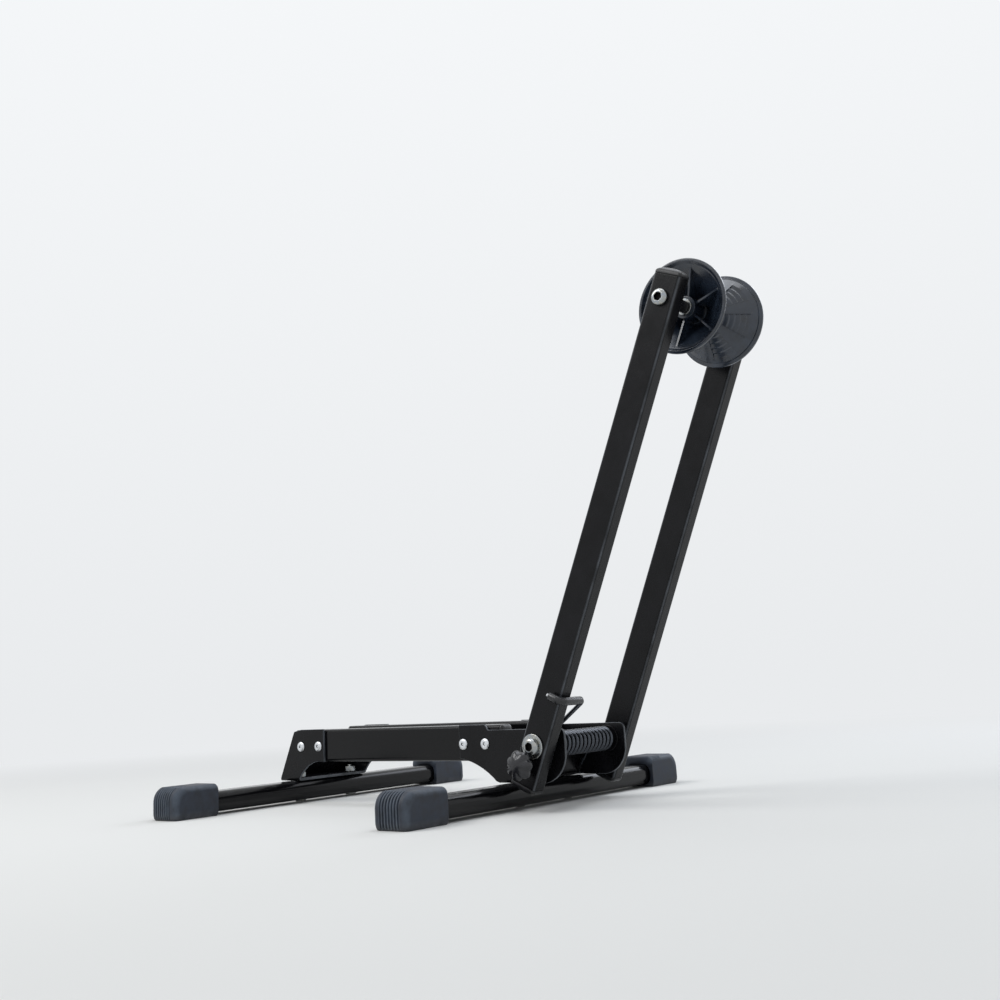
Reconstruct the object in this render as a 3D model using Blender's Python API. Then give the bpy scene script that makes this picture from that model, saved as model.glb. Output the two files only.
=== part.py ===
"""Floor stand that holds a bicycle upright by one wheel.

All sizes are metres. X runs from the front, where the wheel rolls in, to the arms at the rear.
Y runs across the stand, with the near side negative. Z is up from the floor. The origin is on
the floor under the middle of the stand's outer box.
"""

import math

import bmesh
import bpy
from mathutils import Vector

# Fits
GAP = 0.0003
STEEL_HOLE_PLAY = 0.0003

# Floor bars
BAR_SPACING = 0.274
BAR_LENGTH = 0.384
BAR_WIDTH = 0.026
BAR_HEIGHT = 0.018
BAR_CORNER = 0.007
BAR_WALL = 0.0015

# Rubber feet
FOOT_LENGTH = 0.0484
FOOT_SOLE = 0.0022
FOOT_SIDE_WALL = 0.00385
FOOT_ROOF = 0.0072
FOOT_END_WALL = 0.006
FOOT_BEVEL = 0.005
FOOT_CORNER = 0.004
FOOT_EDGE = 0.0012
FOOT_SWEEP = 0.009
FOOT_SWEEP_DROP = 0.011
FOOT_RIBS = 8
FOOT_RIB_DEPTH = 0.0011

# Rails
TYRE_SLOT = 0.058
RAIL_WIDTH = 0.0147
RAIL_HEIGHT = 0.030
RAIL_BOTTOM = 0.0386
RAIL_CORNER = 0.003
RAIL_WALL = 0.0015
RAIL_PAST_FRONT_BAR = 0.007
RAIL_SHORT_OF_REAR_BAR = 0.0135

# Brackets
SHEET = 0.0025
BEND_INSIDE = 0.0005
CHEEK_OVER_RAIL = 0.0005
CHEEK_RIM = 0.0072
CRADLE_LEAN = math.radians(24.8)
FRONT_HEEL = 0.016
FRONT_TOE = 0.0108
FRONT_NOSE_DROP = 0.0033
FRONT_ARCH_BOW = 0.0066
FRONT_CRADLE_TOP = 0.0415
REAR_TOE = 0.0155
REAR_ARCH_BOW = 0.0035
REAR_ARCH_LIP = 0.0026
REAR_STEP_RUN = 0.0034
REAR_CHEEK_OVER_PIVOT = 0.013
REAR_CHEEK_PAST_PIVOT = 0.0172
REAR_CHEEK_ROUND = 0.025
REAR_CRADLE_PAST_BAR = 0.0036
REAR_CRADLE_TOP = 0.0515
CRADLE_DISH_RADIUS = 0.060
CRADLE_DISH_DEPTH = 0.004

# Rivets
RIVET_SHANK_RADIUS = 0.0023
RIVET_HEAD_RADIUS = 0.0047
RIVET_HEAD_HEIGHT = 0.0015
RIVET_BULB_RADIUS = 0.0034
RIVET_BULB_LENGTH = 0.004
RIVET_PITCH = 0.0243
RIVET_DROP = 0.0006
FRONT_RIVET_INSET = 0.0084
REAR_RIVET_INSET = 0.0137

# Bolts that hold the brackets down on the bars
BAR_BOLT_RADIUS = 0.00295
BAR_BOLT_HEAD_RADIUS = 0.0055
BAR_BOLT_HEAD_HEIGHT = 0.0013
BAR_BOLT_PAST_NUT = 0.0015
BAR_BOLT_SPREAD = 0.0345
REAR_BAR_BOLT_FORWARD = 0.004
BAR_NUT_ACROSS_FLATS = 0.010
BAR_NUT_HEIGHT = 0.005

# Pivot
PIVOT_SETBACK = 0.0388
PIVOT_HEIGHT = 0.0515
BOLT_RADIUS = 0.004
BOLT_HEAD_RADIUS = 0.007
BOLT_HEAD_HEIGHT = 0.0043
SOCKET_ACROSS_FLATS = 0.005
SOCKET_DEPTH = 0.0026
BOLT_PAST_NUT = 0.002
NUT_ACROSS_FLATS = 0.013
NUT_HEIGHT = 0.0075
PIVOT_WASHER_RADIUS = 0.010
PIVOT_WASHER_THICKNESS = 0.0015
PIVOT_SPACER_RADIUS = 0.008
PIVOT_SPACER_LENGTH = 0.0043
SLEEVE_RADIUS = 0.006
SLEEVE_WASHER_RADIUS = 0.011
SLEEVE_WASHER_THICKNESS = 0.0015

# Arms
ARM_LEAN = math.radians(24.1)
ARM_REACH = 0.3765
ARM_TAIL = 0.033
ARM_HEAD = 0.019
ARM_DEPTH = 0.025
ARM_WIDTH = 0.015
ARM_CORNER = 0.0025
ARM_WALL = 0.0015

# End plugs of the arms and rails
ARM_PLUG_SKIRT = 0.010
PLUG_RIM = 0.0012
ARM_PLUG_DOME = 0.0048
RAIL_PLUG_DOME = 0.0036

# Rollers on the axle between the arms
ROLLER_RADIUS = 0.040
ROLLER_RIM_Y = 0.0333
ROLLER_RIM_BAND = 0.0028
ROLLER_LIP = 0.0024
ROLLER_HUB_RADIUS = 0.0095
ROLLER_HUB_BACK = 0.0282
ROLLER_NECK = 0.006
ROLLER_SHELL = 0.0024
ROLLER_RIBS = 6
ROLLER_RIB_THICKNESS = 0.0018
ROLLER_RIB_RECESS = 0.003
ROLLER_STEPS = 5
ROLLER_STEP_DEPTH = 0.0008
ROLLER_PLAIN_INSIDE = 0.005
ROLLER_PLAIN_OUTSIDE = 0.0045
ROLLER_RIDGE_WIDTH = 0.0022
ROLLER_RIDGE_HEIGHT = 0.0004
BUSH_WALL = 0.0017
AXLE_WASHER_RADIUS = 0.007
AXLE_WASHER_THICKNESS = 0.0015
AXLE_SPACER_WALL = 0.0013

# Torsion spring and the sleeve on its hook
WIRE_DIAMETER = 0.0035
COIL_RADIUS = 0.0087
COIL_TURNS = 13
COIL_NEAR_Y = -0.0375
COIL_FAR_Y = 0.0385
COIL_POINTS_PER_TURN = 10
HOOK_HEIGHT = 0.045
HOOK_TIP = 0.0015
HOOK_BEND = 0.005
HOOK_BARE_TIP = 0.0006
HOOK_SLEEVE_WALL = 0.0013
FAR_LEG_OVER_WEB = 0.0045

# Clamp knob
KNOB_DROP = 0.0155
KNOB_RADIUS = 0.0118
KNOB_LOBES = 6
KNOB_LOBE_HEIGHT = 0.0014
KNOB_NECK_RADIUS = 0.005
KNOB_NECK_LENGTH = 0.0068
KNOB_HEAD_LENGTH = 0.0115
KNOB_STUD_RADIUS = 0.0039
KNOB_STUD_DEPTH = 0.012
INSERT_RADIUS = 0.0052
INSERT_FLANGE_RADIUS = 0.0065
INSERT_FLANGE_THICKNESS = 0.0008
INSERT_PAST_WALL = 0.005

# Finishes: colour, roughness, metallic
GLOSS_BLACK_STEEL = ((0.010, 0.010, 0.012), 0.22, 0.0)
SATIN_BLACK_STEEL = ((0.014, 0.014, 0.016), 0.38, 0.0)
SLATE_RUBBER = ((0.040, 0.045, 0.055), 0.85, 0.0)
BLACK_PLASTIC = ((0.012, 0.012, 0.014), 0.42, 0.0)
BRIGHT_ZINC = ((0.62, 0.63, 0.65), 0.28, 1.0)
DARK_SPRING_STEEL = ((0.10, 0.10, 0.11), 0.30, 1.0)

# Mesh detail
CORNER_STEPS = 3
SMALL_ROUND = 12
BIG_ROUND = 36
OVERCUT = 0.001

# Sizes that follow from the ones above
BAR_MIDDLE_Z = FOOT_SOLE + GAP + BAR_HEIGHT / 2
BAR_BOTTOM = BAR_MIDDLE_Z - BAR_HEIGHT / 2
BAR_TOP = BAR_MIDDLE_Z + BAR_HEIGHT / 2
FOOT_WIDTH = BAR_WIDTH + 2 * (GAP + FOOT_SIDE_WALL)
FOOT_HEIGHT = BAR_TOP + GAP + FOOT_ROOF
FOOT_OUTER_Y = BAR_LENGTH / 2 + GAP + FOOT_END_WALL
FOOT_INNER_Y = FOOT_OUTER_Y - FOOT_LENGTH

RAIL_INNER_Y = TYRE_SLOT / 2
RAIL_OUTER_Y = RAIL_INNER_Y + RAIL_WIDTH
RAIL_MIDDLE_Y = (RAIL_INNER_Y + RAIL_OUTER_Y) / 2
RAIL_TOP = RAIL_BOTTOM + RAIL_HEIGHT
RAIL_MIDDLE_Z = (RAIL_BOTTOM + RAIL_TOP) / 2
CHEEK_INNER_Y = RAIL_OUTER_Y + GAP
CHEEK_OUTER_Y = CHEEK_INNER_Y + SHEET
CHEEK_TOP = RAIL_TOP + CHEEK_OVER_RAIL
WEB_BOTTOM = BAR_TOP + GAP
WEB_TOP = WEB_BOTTOM + SHEET
WEB_MIDDLE = (WEB_BOTTOM + WEB_TOP) / 2
RIVET_Z = RAIL_MIDDLE_Z - RIVET_DROP

ARM_INNER_Y = CHEEK_OUTER_Y + GAP + PIVOT_SPACER_LENGTH + GAP
ARM_OUTER_Y = ARM_INNER_Y + ARM_WIDTH
ARM_MIDDLE_Y = (ARM_INNER_Y + ARM_OUTER_Y) / 2
HOLE_RADIUS = BOLT_RADIUS + STEEL_HOLE_PLAY

REACH_FORWARD = BAR_SPACING + FOOT_WIDTH / 2
REACH_BACK = PIVOT_SETBACK + ARM_REACH * math.sin(ARM_LEAN) + ROLLER_RADIUS
REAR_BAR_X = (REACH_FORWARD - REACH_BACK) / 2
FRONT_BAR_X = REAR_BAR_X - BAR_SPACING
PIVOT_X = REAR_BAR_X + PIVOT_SETBACK
RAIL_FRONT_X = FRONT_BAR_X + RAIL_PAST_FRONT_BAR
RAIL_REAR_X = REAR_BAR_X - RAIL_SHORT_OF_REAR_BAR
FRONT_RIVETS_X = (RAIL_FRONT_X + FRONT_RIVET_INSET, RAIL_FRONT_X + FRONT_RIVET_INSET + RIVET_PITCH)
RAIL_PLUG_SKIRT = FRONT_RIVET_INSET - RIVET_BULB_RADIUS - GAP
REAR_RIVETS_X = (RAIL_REAR_X - REAR_RIVET_INSET - RIVET_PITCH, RAIL_REAR_X - REAR_RIVET_INSET)
FRONT_CRADLE_X = FRONT_BAR_X - FRONT_HEEL + SHEET / 2 / math.cos(CRADLE_LEAN)
REAR_CRADLE_X = REAR_BAR_X + REAR_CRADLE_PAST_BAR

SIDES = {"near": -1, "far": 1}


def new_object(name, bm, parent=None):
    """Turn a closed bmesh into an object with its faces pointing out."""
    bmesh.ops.recalc_face_normals(bm, faces=bm.faces)
    mesh = bpy.data.meshes.new(name)
    bm.to_mesh(mesh)
    bm.free()
    made = bpy.data.objects.new(name, mesh)
    made.parent = parent
    bpy.context.scene.collection.objects.link(made)
    return made


def set_finish(made, finish):
    """Give a piece its own material from a finish."""
    colour, roughness, metallic = finish
    material = bpy.data.materials.new(made.name)
    material.use_nodes = True
    shader = material.node_tree.nodes["Principled BSDF"]
    shader.inputs["Base Color"].default_value = (*colour, 1.0)
    shader.inputs["Roughness"].default_value = roughness
    shader.inputs["Metallic"].default_value = metallic
    made.data.materials.append(material)


def piece(name, bm, finish, parent=None):
    """Add one solid piece of the stand."""
    made = new_object(name, bm, parent)
    made.data.shade_smooth()
    made.data.set_sharp_from_angle(angle=math.radians(35))
    set_finish(made, finish)
    return made


def tool(name, bm, parent=None):
    """Add a hidden shape that a Boolean uses."""
    made = new_object(name, bm, parent)
    made.hide_render = True
    made.display_type = "WIRE"
    return made


def boolean(target, other, operation):
    """Cut with, join or keep what is shared with another shape."""
    modifier = target.modifiers.new(other.name, "BOOLEAN")
    modifier.operation = operation
    modifier.solver = "EXACT"
    modifier.object = other


def empty(name, location, parent=None):
    """Add an empty that carries the pieces of one moving body."""
    made = bpy.data.objects.new(name, None)
    made.location = location
    made.parent = parent
    bpy.context.scene.collection.objects.link(made)
    return made


def rounded(corners, steps=CORNER_STEPS):
    """Outline of a polygon given as (a, b, radius), with a tangent arc at each corner."""
    outline = []
    for index, (a, b, radius) in enumerate(corners):
        corner = Vector((a, b))
        if radius == 0:
            outline.append(corner)
            continue
        back = (Vector(corners[index - 1][:2]) - corner).normalized()
        ahead = (Vector(corners[(index + 1) % len(corners)][:2]) - corner).normalized()
        half = back.angle(ahead) / 2
        centre = corner + (back + ahead).normalized() * radius / math.sin(half)
        start = corner + back * radius / math.tan(half) - centre
        turn = -start.angle_signed(corner + ahead * radius / math.tan(half) - centre)
        for step in range(steps + 1):
            angle = math.atan2(start.y, start.x) + turn * step / steps
            outline.append(centre + radius * Vector((math.cos(angle), math.sin(angle))))
    return outline


def rounded_box(width, height, radius, middle=(0.0, 0.0), steps=CORNER_STEPS):
    """Rectangle about a middle, with rounded corners."""
    a, b = middle
    w, h = width / 2, height / 2
    signs = ((-1, -1), (1, -1), (1, 1), (-1, 1))
    return rounded([(a + w * across, b + h * up, radius) for across, up in signs], steps)


def circle(radius, sides, middle=(0.0, 0.0), phase=0.0):
    """Regular polygon on a circle."""
    angles = [phase + 2 * math.pi * index / sides for index in range(sides)]
    return [Vector((middle[0] + radius * math.cos(t), middle[1] + radius * math.sin(t))) for t in angles]


def bowed(start, end, bow, steps):
    """Points along an arc from start to end that stands off its chord by bow, on the left side."""
    start, end = Vector(start), Vector(end)
    chord = end - start
    left = Vector((-chord.y, chord.x)).normalized()
    radius = chord.length_squared / (8 * bow) + bow / 2
    middle = (start + end) / 2 - left * (radius - bow)
    half = math.asin(chord.length / (2 * radius))
    angles = [half * (1 - 2 * step / steps) for step in range(steps + 1)]
    along = chord.normalized()
    return [middle + radius * (left * math.cos(t) - along * math.sin(t)) for t in angles]


def along_axis(point, distance, axis):
    """Place an outline point at a distance along X, Y or Z."""
    a, b = point
    return {"x": (distance, a, b), "y": (a, distance, b), "z": (a, b, distance)}[axis]


def loft(rings):
    """Closed skin over rings that have the same number of points."""
    bm = bmesh.new()
    rows = [[bm.verts.new(point) for point in ring] for ring in rings]
    count = len(rows[0])
    for low, high in zip(rows, rows[1:]):
        for index in range(count):
            after = (index + 1) % count
            bm.faces.new((low[index], low[after], high[after], high[index]))
    bm.faces.new(rows[0])
    bm.faces.new(rows[-1])
    return bm


def prism(outline, axis, low, high):
    """Outline extruded along one axis."""
    return loft([[along_axis(point, distance, axis) for point in outline] for distance in (low, high)])


def turned(profile, sides):
    """Solid turned about Y from a closed profile of (y, radius) points."""
    bm = bmesh.new()
    verts = [bm.verts.new((radius, y, 0.0)) for y, radius in profile]
    edges = [bm.edges.new((verts[index - 1], verts[index])) for index in range(len(verts))]
    bmesh.ops.spin(
        bm,
        geom=verts + edges,
        cent=(0, 0, 0),
        axis=(0, 1, 0),
        angle=2 * math.pi,
        steps=sides,
        use_merge=True,
    )
    bmesh.ops.remove_doubles(bm, verts=bm.verts, dist=1e-6)
    bmesh.ops.dissolve_degenerate(bm, edges=bm.edges, dist=1e-7)
    loose = [edge for edge in bm.edges if not edge.link_faces]
    bmesh.ops.delete(bm, geom=loose, context="EDGES")
    return bm


def washer(low, high, bore, radius, sides):
    """Ring about Y from low to high."""
    return turned([(low, bore), (low, radius), (high, radius), (high, bore)], sides)


def place(made, location, turn_z=0.0):
    """Set a piece's location and its turn about Z."""
    made.location = location
    made.rotation_euler = (0.0, 0.0, turn_z)


def floor_bar(name, x, bolts_x):
    """Flat-oval tube across the stand, with a bolt hole on each side of the middle."""
    outline = rounded_box(BAR_WIDTH, BAR_HEIGHT, BAR_CORNER, (x, BAR_MIDDLE_Z))
    bar = piece(name, prism(outline, "y", -BAR_LENGTH / 2, BAR_LENGTH / 2), GLOSS_BLACK_STEEL)
    inside = rounded_box(
        BAR_WIDTH - 2 * BAR_WALL, BAR_HEIGHT - 2 * BAR_WALL, BAR_CORNER - BAR_WALL, (x, BAR_MIDDLE_Z)
    )
    reach = BAR_LENGTH / 2 + OVERCUT
    boolean(bar, tool(name + "_inside", prism(inside, "y", -reach, reach)), "DIFFERENCE")
    for side, sign in SIDES.items():
        hole = circle(BAR_BOLT_RADIUS + STEEL_HOLE_PLAY, SMALL_ROUND, (bolts_x, sign * BAR_BOLT_SPREAD))
        cutter = tool(f"{name}_hole_{side}", prism(hole, "z", BAR_BOTTOM - OVERCUT, BAR_TOP + OVERCUT))
        boolean(bar, cutter, "DIFFERENCE")
    return bar


def foot_section(x, setback, top):
    """Side view of the foot at one x: square inside, swept back over the outer end."""
    end = FOOT_LENGTH - setback
    corners = [(0.0, 0.0, FOOT_EDGE), (0.0, top, FOOT_EDGE), (end - FOOT_SWEEP, top, 0), (end, 0.0, 0)]
    lower = rounded(corners, 1)
    sweep = bowed((end - FOOT_SWEEP, top), (end, top - FOOT_SWEEP_DROP), FOOT_SWEEP / 4, 3)
    outline = lower[:4] + sweep + [Vector((end, FOOT_EDGE)), Vector((end - FOOT_EDGE, 0.0))]
    return [(x, point.x, point.y) for point in outline]


def foot_mesh():
    """Rubber boot lofted across its width, with V grooves between the ribs on its outer end."""
    half = FOOT_WIDTH / 2
    ribbed = half - FOOT_BEVEL
    pitch = 2 * ribbed / FOOT_RIBS
    side = [
        (half, FOOT_CORNER, FOOT_HEIGHT - FOOT_BEVEL),
        (half - FOOT_CORNER / 4, FOOT_CORNER / 3, FOOT_HEIGHT - FOOT_BEVEL * 3 / 4),
        (half - FOOT_CORNER * 3 / 4, FOOT_CORNER / 16, FOOT_HEIGHT - FOOT_BEVEL / 4),
        (ribbed, 0.0, FOOT_HEIGHT),
    ]
    middle = []
    for rib in range(FOOT_RIBS):
        left = -ribbed + pitch * rib
        middle.append((left + pitch * 0.18, 0.0, FOOT_HEIGHT))
        middle.append((left + pitch * 0.62, 0.0, FOOT_HEIGHT))
        middle.append((left + pitch * 0.90, FOOT_RIB_DEPTH, FOOT_HEIGHT))
    stations = [(-x, setback, top) for x, setback, top in side] + middle[:-1] + side[::-1]
    return loft([foot_section(x, setback, top) for x, setback, top in stations])


def feet():
    """Four boots on the bar ends, each with a blind socket for the bar."""
    shape = rounded_box(BAR_WIDTH + 2 * GAP, BAR_HEIGHT + 2 * GAP, BAR_CORNER + GAP, (0.0, BAR_MIDDLE_Z))
    for row, x in (("front", FRONT_BAR_X), ("rear", REAR_BAR_X)):
        for side, sign in SIDES.items():
            foot = piece(f"foot_{row}_{side}", foot_mesh(), SLATE_RUBBER)
            socket = tool(
                f"foot_{row}_{side}_socket", prism(shape, "y", -OVERCUT, FOOT_LENGTH - FOOT_END_WALL)
            )
            turn = 0.0 if sign > 0 else math.pi
            place(foot, (x, sign * FOOT_INNER_Y, 0.0), turn)
            place(socket, (x, sign * FOOT_INNER_Y, 0.0), turn)
            boolean(foot, socket, "DIFFERENCE")


def plug_mesh(width, depth, corner, wall, dome, skirt_length):
    """Push-in end plug along +Z: a skirt inside the tube, then a domed cap over its end."""
    skirt_corner = max(corner - wall - GAP, corner / 4)
    inset = 2 * (wall + GAP)
    rings = []
    for z in (-skirt_length, GAP):
        skirt = rounded_box(width - inset, depth - inset, skirt_corner, steps=2)
        rings.append([along_axis(point, z, "z") for point in skirt])
    levels = [
        (GAP, 0.0),
        (GAP + PLUG_RIM, 0.0),
        (PLUG_RIM + dome * 0.62, 0.3),
        (PLUG_RIM + dome, 0.9),
    ]
    for z, shrink in levels:
        cut = 2 * shrink * dome
        cap = rounded_box(width - cut, depth - cut, corner, steps=2)
        rings.append([along_axis(point, z, "z") for point in cap])
    return loft(rings)


def rails():
    """Two rectangular tubes with end plugs, riveted to the brackets through their outer walls."""
    for side, sign in SIDES.items():
        middle = (sign * RAIL_MIDDLE_Y, RAIL_MIDDLE_Z)
        outline = rounded_box(RAIL_WIDTH, RAIL_HEIGHT, RAIL_CORNER, middle)
        rail = piece(f"rail_{side}", prism(outline, "x", RAIL_FRONT_X, RAIL_REAR_X), GLOSS_BLACK_STEEL)
        inside = rounded_box(
            RAIL_WIDTH - 2 * RAIL_WALL, RAIL_HEIGHT - 2 * RAIL_WALL, RAIL_CORNER - RAIL_WALL, middle
        )
        bore = prism(inside, "x", RAIL_FRONT_X - OVERCUT, RAIL_REAR_X + OVERCUT)
        boolean(rail, tool(f"rail_{side}_inside", bore), "DIFFERENCE")
        for index, x in enumerate(FRONT_RIVETS_X + REAR_RIVETS_X):
            hole = circle(RIVET_SHANK_RADIUS + STEEL_HOLE_PLAY, SMALL_ROUND, (x, RIVET_Z))
            ends = sorted((sign * RAIL_MIDDLE_Y, sign * (RAIL_OUTER_Y + OVERCUT)))
            cutter = tool(f"rail_{side}_hole_{index}", prism(hole, "y", *ends))
            boolean(rail, cutter, "DIFFERENCE")
        for end, x, direction in (("front", RAIL_FRONT_X, -1), ("rear", RAIL_REAR_X, 1)):
            shape = plug_mesh(
                RAIL_HEIGHT, RAIL_WIDTH, RAIL_CORNER, RAIL_WALL, RAIL_PLUG_DOME, RAIL_PLUG_SKIRT
            )
            plug = piece(f"rail_plug_{end}_{side}", shape, BLACK_PLASTIC)
            plug.location = (x, sign * RAIL_MIDDLE_Y, RAIL_MIDDLE_Z)
            plug.rotation_euler = (0.0, direction * math.pi / 2, 0.0)


def channel_mesh(low, high):
    """U of bent sheet along X: a web on the bar and two upright cheeks."""
    top = CHEEK_TOP + OVERCUT
    outer, inner = CHEEK_OUTER_Y, CHEEK_INNER_Y
    bend = BEND_INSIDE + SHEET
    corners = [
        (-outer, top, 0),
        (-outer, WEB_BOTTOM, bend),
        (outer, WEB_BOTTOM, bend),
        (outer, top, 0),
        (inner, top, 0),
        (inner, WEB_TOP, BEND_INSIDE),
        (-inner, WEB_TOP, BEND_INSIDE),
        (-inner, top, 0),
    ]
    return prism(rounded(corners), "x", low, high)


def cradle_mesh(x, top):
    """Leaning wall across the bracket, from the web up to where the tyre rests."""
    across = SHEET / 2 / math.cos(CRADLE_LEAN)
    rise = top - WEB_MIDDLE
    shift = rise * math.tan(CRADLE_LEAN)
    outline = [
        (x - across, WEB_MIDDLE),
        (x + across, WEB_MIDDLE),
        (x + shift + across, top),
        (x + shift - across, top),
    ]
    reach = CHEEK_INNER_Y + SHEET / 2
    return prism(outline, "y", -reach, reach)


def bracket(name, outline, cradle_x, cradle_top, rivets_x, bolts_x):
    """U pressing cut to its side view, with a dished cradle wall and its rivet holes."""
    ends = [point.x for point in outline]
    body = piece(name, channel_mesh(min(ends) - OVERCUT, max(ends) + OVERCUT), SATIN_BLACK_STEEL)
    reach = CHEEK_OUTER_Y + OVERCUT
    boolean(body, tool(name + "_side_view", prism(outline, "y", -reach, reach)), "INTERSECT")
    if name == "rear_bracket":
        low, high = cradle_x + SHEET, max(ends) + OVERCUT
        width = CHEEK_INNER_Y + OVERCUT / 5
        opening = [(low, -width), (high, -width), (high, width), (low, width)]
        trim = prism(opening, "z", WEB_BOTTOM - OVERCUT, WEB_TOP + BEND_INSIDE + OVERCUT / 5)
        boolean(body, tool(name + "_open_back", trim), "DIFFERENCE")
    boolean(body, tool(name + "_cradle", cradle_mesh(cradle_x, cradle_top)), "UNION")
    dish_middle = (0.0, cradle_top + CRADLE_DISH_RADIUS - CRADLE_DISH_DEPTH)
    dish = circle(CRADLE_DISH_RADIUS, BIG_ROUND * 2, dish_middle)
    dish_x = cradle_x + (cradle_top - WEB_MIDDLE) * math.tan(CRADLE_LEAN)
    cutter = prism(dish, "x", dish_x - SHEET * 3, dish_x + SHEET * 3)
    boolean(body, tool(name + "_dish", cutter), "DIFFERENCE")
    for index, x in enumerate(rivets_x):
        hole = circle(RIVET_SHANK_RADIUS + STEEL_HOLE_PLAY, SMALL_ROUND, (x, RIVET_Z))
        boolean(body, tool(f"{name}_rivet_{index}", prism(hole, "y", -reach, reach)), "DIFFERENCE")
    for side, sign in SIDES.items():
        hole = circle(BAR_BOLT_RADIUS + STEEL_HOLE_PLAY, SMALL_ROUND, (bolts_x, sign * BAR_BOLT_SPREAD))
        cutter = prism(hole, "z", WEB_BOTTOM - OVERCUT, WEB_TOP + OVERCUT)
        boolean(body, tool(f"{name}_bolt_{side}", cutter), "DIFFERENCE")
    return body


def front_side_view():
    """Cheek of the front bracket: leaning front edge, flat top and an arch behind the bar."""
    low = WEB_BOTTOM - OVERCUT
    nose_z = CHEEK_TOP - FRONT_NOSE_DROP
    heel = FRONT_BAR_X - FRONT_HEEL
    toe = FRONT_BAR_X + FRONT_TOE
    back = FRONT_RIVETS_X[1] + CHEEK_RIM
    lean = math.tan(CRADLE_LEAN)
    arch = bowed((toe, WEB_BOTTOM), (back, RAIL_BOTTOM), FRONT_ARCH_BOW, 6)
    corners = [
        (FRONT_RIVETS_X[0], CHEEK_TOP, 0.002),
        (heel + (nose_z - WEB_BOTTOM) * lean, nose_z, 0.002),
        (heel + (low - WEB_BOTTOM) * lean, low, 0),
        (toe, low, 0),
    ]
    corners += [(point.x, point.y, 0) for point in arch]
    corners.append((back, CHEEK_TOP, 0.001))
    return rounded(corners)


def rear_side_view():
    """Cheek of the rear bracket: arch in front of the bar, step behind the rail, round rear corner."""
    low = WEB_BOTTOM - OVERCUT
    toe = REAR_BAR_X - REAR_TOE
    front = REAR_RIVETS_X[0] - RIVET_HEAD_RADIUS
    step_x = REAR_RIVETS_X[1]
    step_z = PIVOT_HEIGHT + REAR_CHEEK_OVER_PIVOT
    back = PIVOT_X + REAR_CHEEK_PAST_PIVOT
    arch = bowed((front, RAIL_BOTTOM + REAR_ARCH_LIP), (toe, WEB_BOTTOM), REAR_ARCH_BOW, 5)
    corners = [(point.x, point.y, 0) for point in arch]
    corners += [
        (toe, low, 0),
        (back, low, REAR_CHEEK_ROUND),
        (back, step_z, 0.005),
        (step_x + REAR_STEP_RUN, step_z, 0),
        (step_x, CHEEK_TOP, 0.001),
        (front, CHEEK_TOP, 0.001),
    ]
    return rounded(corners, 5)


def brackets():
    """Front and rear pressings; the rear one also carries the pivot."""
    bracket(
        "front_bracket", front_side_view(), FRONT_CRADLE_X, FRONT_CRADLE_TOP, FRONT_RIVETS_X, FRONT_BAR_X
    )
    rear = bracket(
        "rear_bracket",
        rear_side_view(),
        REAR_CRADLE_X,
        REAR_CRADLE_TOP,
        REAR_RIVETS_X,
        REAR_BAR_X - REAR_BAR_BOLT_FORWARD,
    )
    reach = CHEEK_OUTER_Y + OVERCUT
    hole = circle(HOLE_RADIUS, SMALL_ROUND, (PIVOT_X, PIVOT_HEIGHT))
    boolean(rear, tool("rear_bracket_pivot_hole", prism(hole, "y", -reach, reach)), "DIFFERENCE")


def rail_rivets():
    """Blind rivets through cheek and rail wall, head outside and bulb inside the rail."""
    face = CHEEK_OUTER_Y + GAP
    inside = RAIL_OUTER_Y - RAIL_WALL - GAP
    profile = [
        (face + RIVET_HEAD_HEIGHT * 0.6, 0.0),
        (face + RIVET_HEAD_HEIGHT * 0.6, RIVET_SHANK_RADIUS / 2),
        (face + RIVET_HEAD_HEIGHT, RIVET_SHANK_RADIUS * 0.7),
        (face + RIVET_HEAD_HEIGHT * 0.6, RIVET_HEAD_RADIUS * 0.85),
        (face, RIVET_HEAD_RADIUS),
        (face, RIVET_SHANK_RADIUS),
        (inside, RIVET_SHANK_RADIUS),
        (inside - RIVET_BULB_LENGTH * 0.3, RIVET_BULB_RADIUS),
        (inside - RIVET_BULB_LENGTH, RIVET_SHANK_RADIUS),
        (inside - RIVET_BULB_LENGTH, 0.0),
    ]
    for side, sign in SIDES.items():
        for row, places in (("front", FRONT_RIVETS_X), ("rear", REAR_RIVETS_X)):
            for number, x in enumerate(places, 1):
                rivet = piece(f"rivet_{row}_{side}_{number}", turned(profile, SMALL_ROUND), BRIGHT_ZINC)
                place(rivet, (x, 0.0, RIVET_Z), 0.0 if sign > 0 else math.pi)


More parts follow.
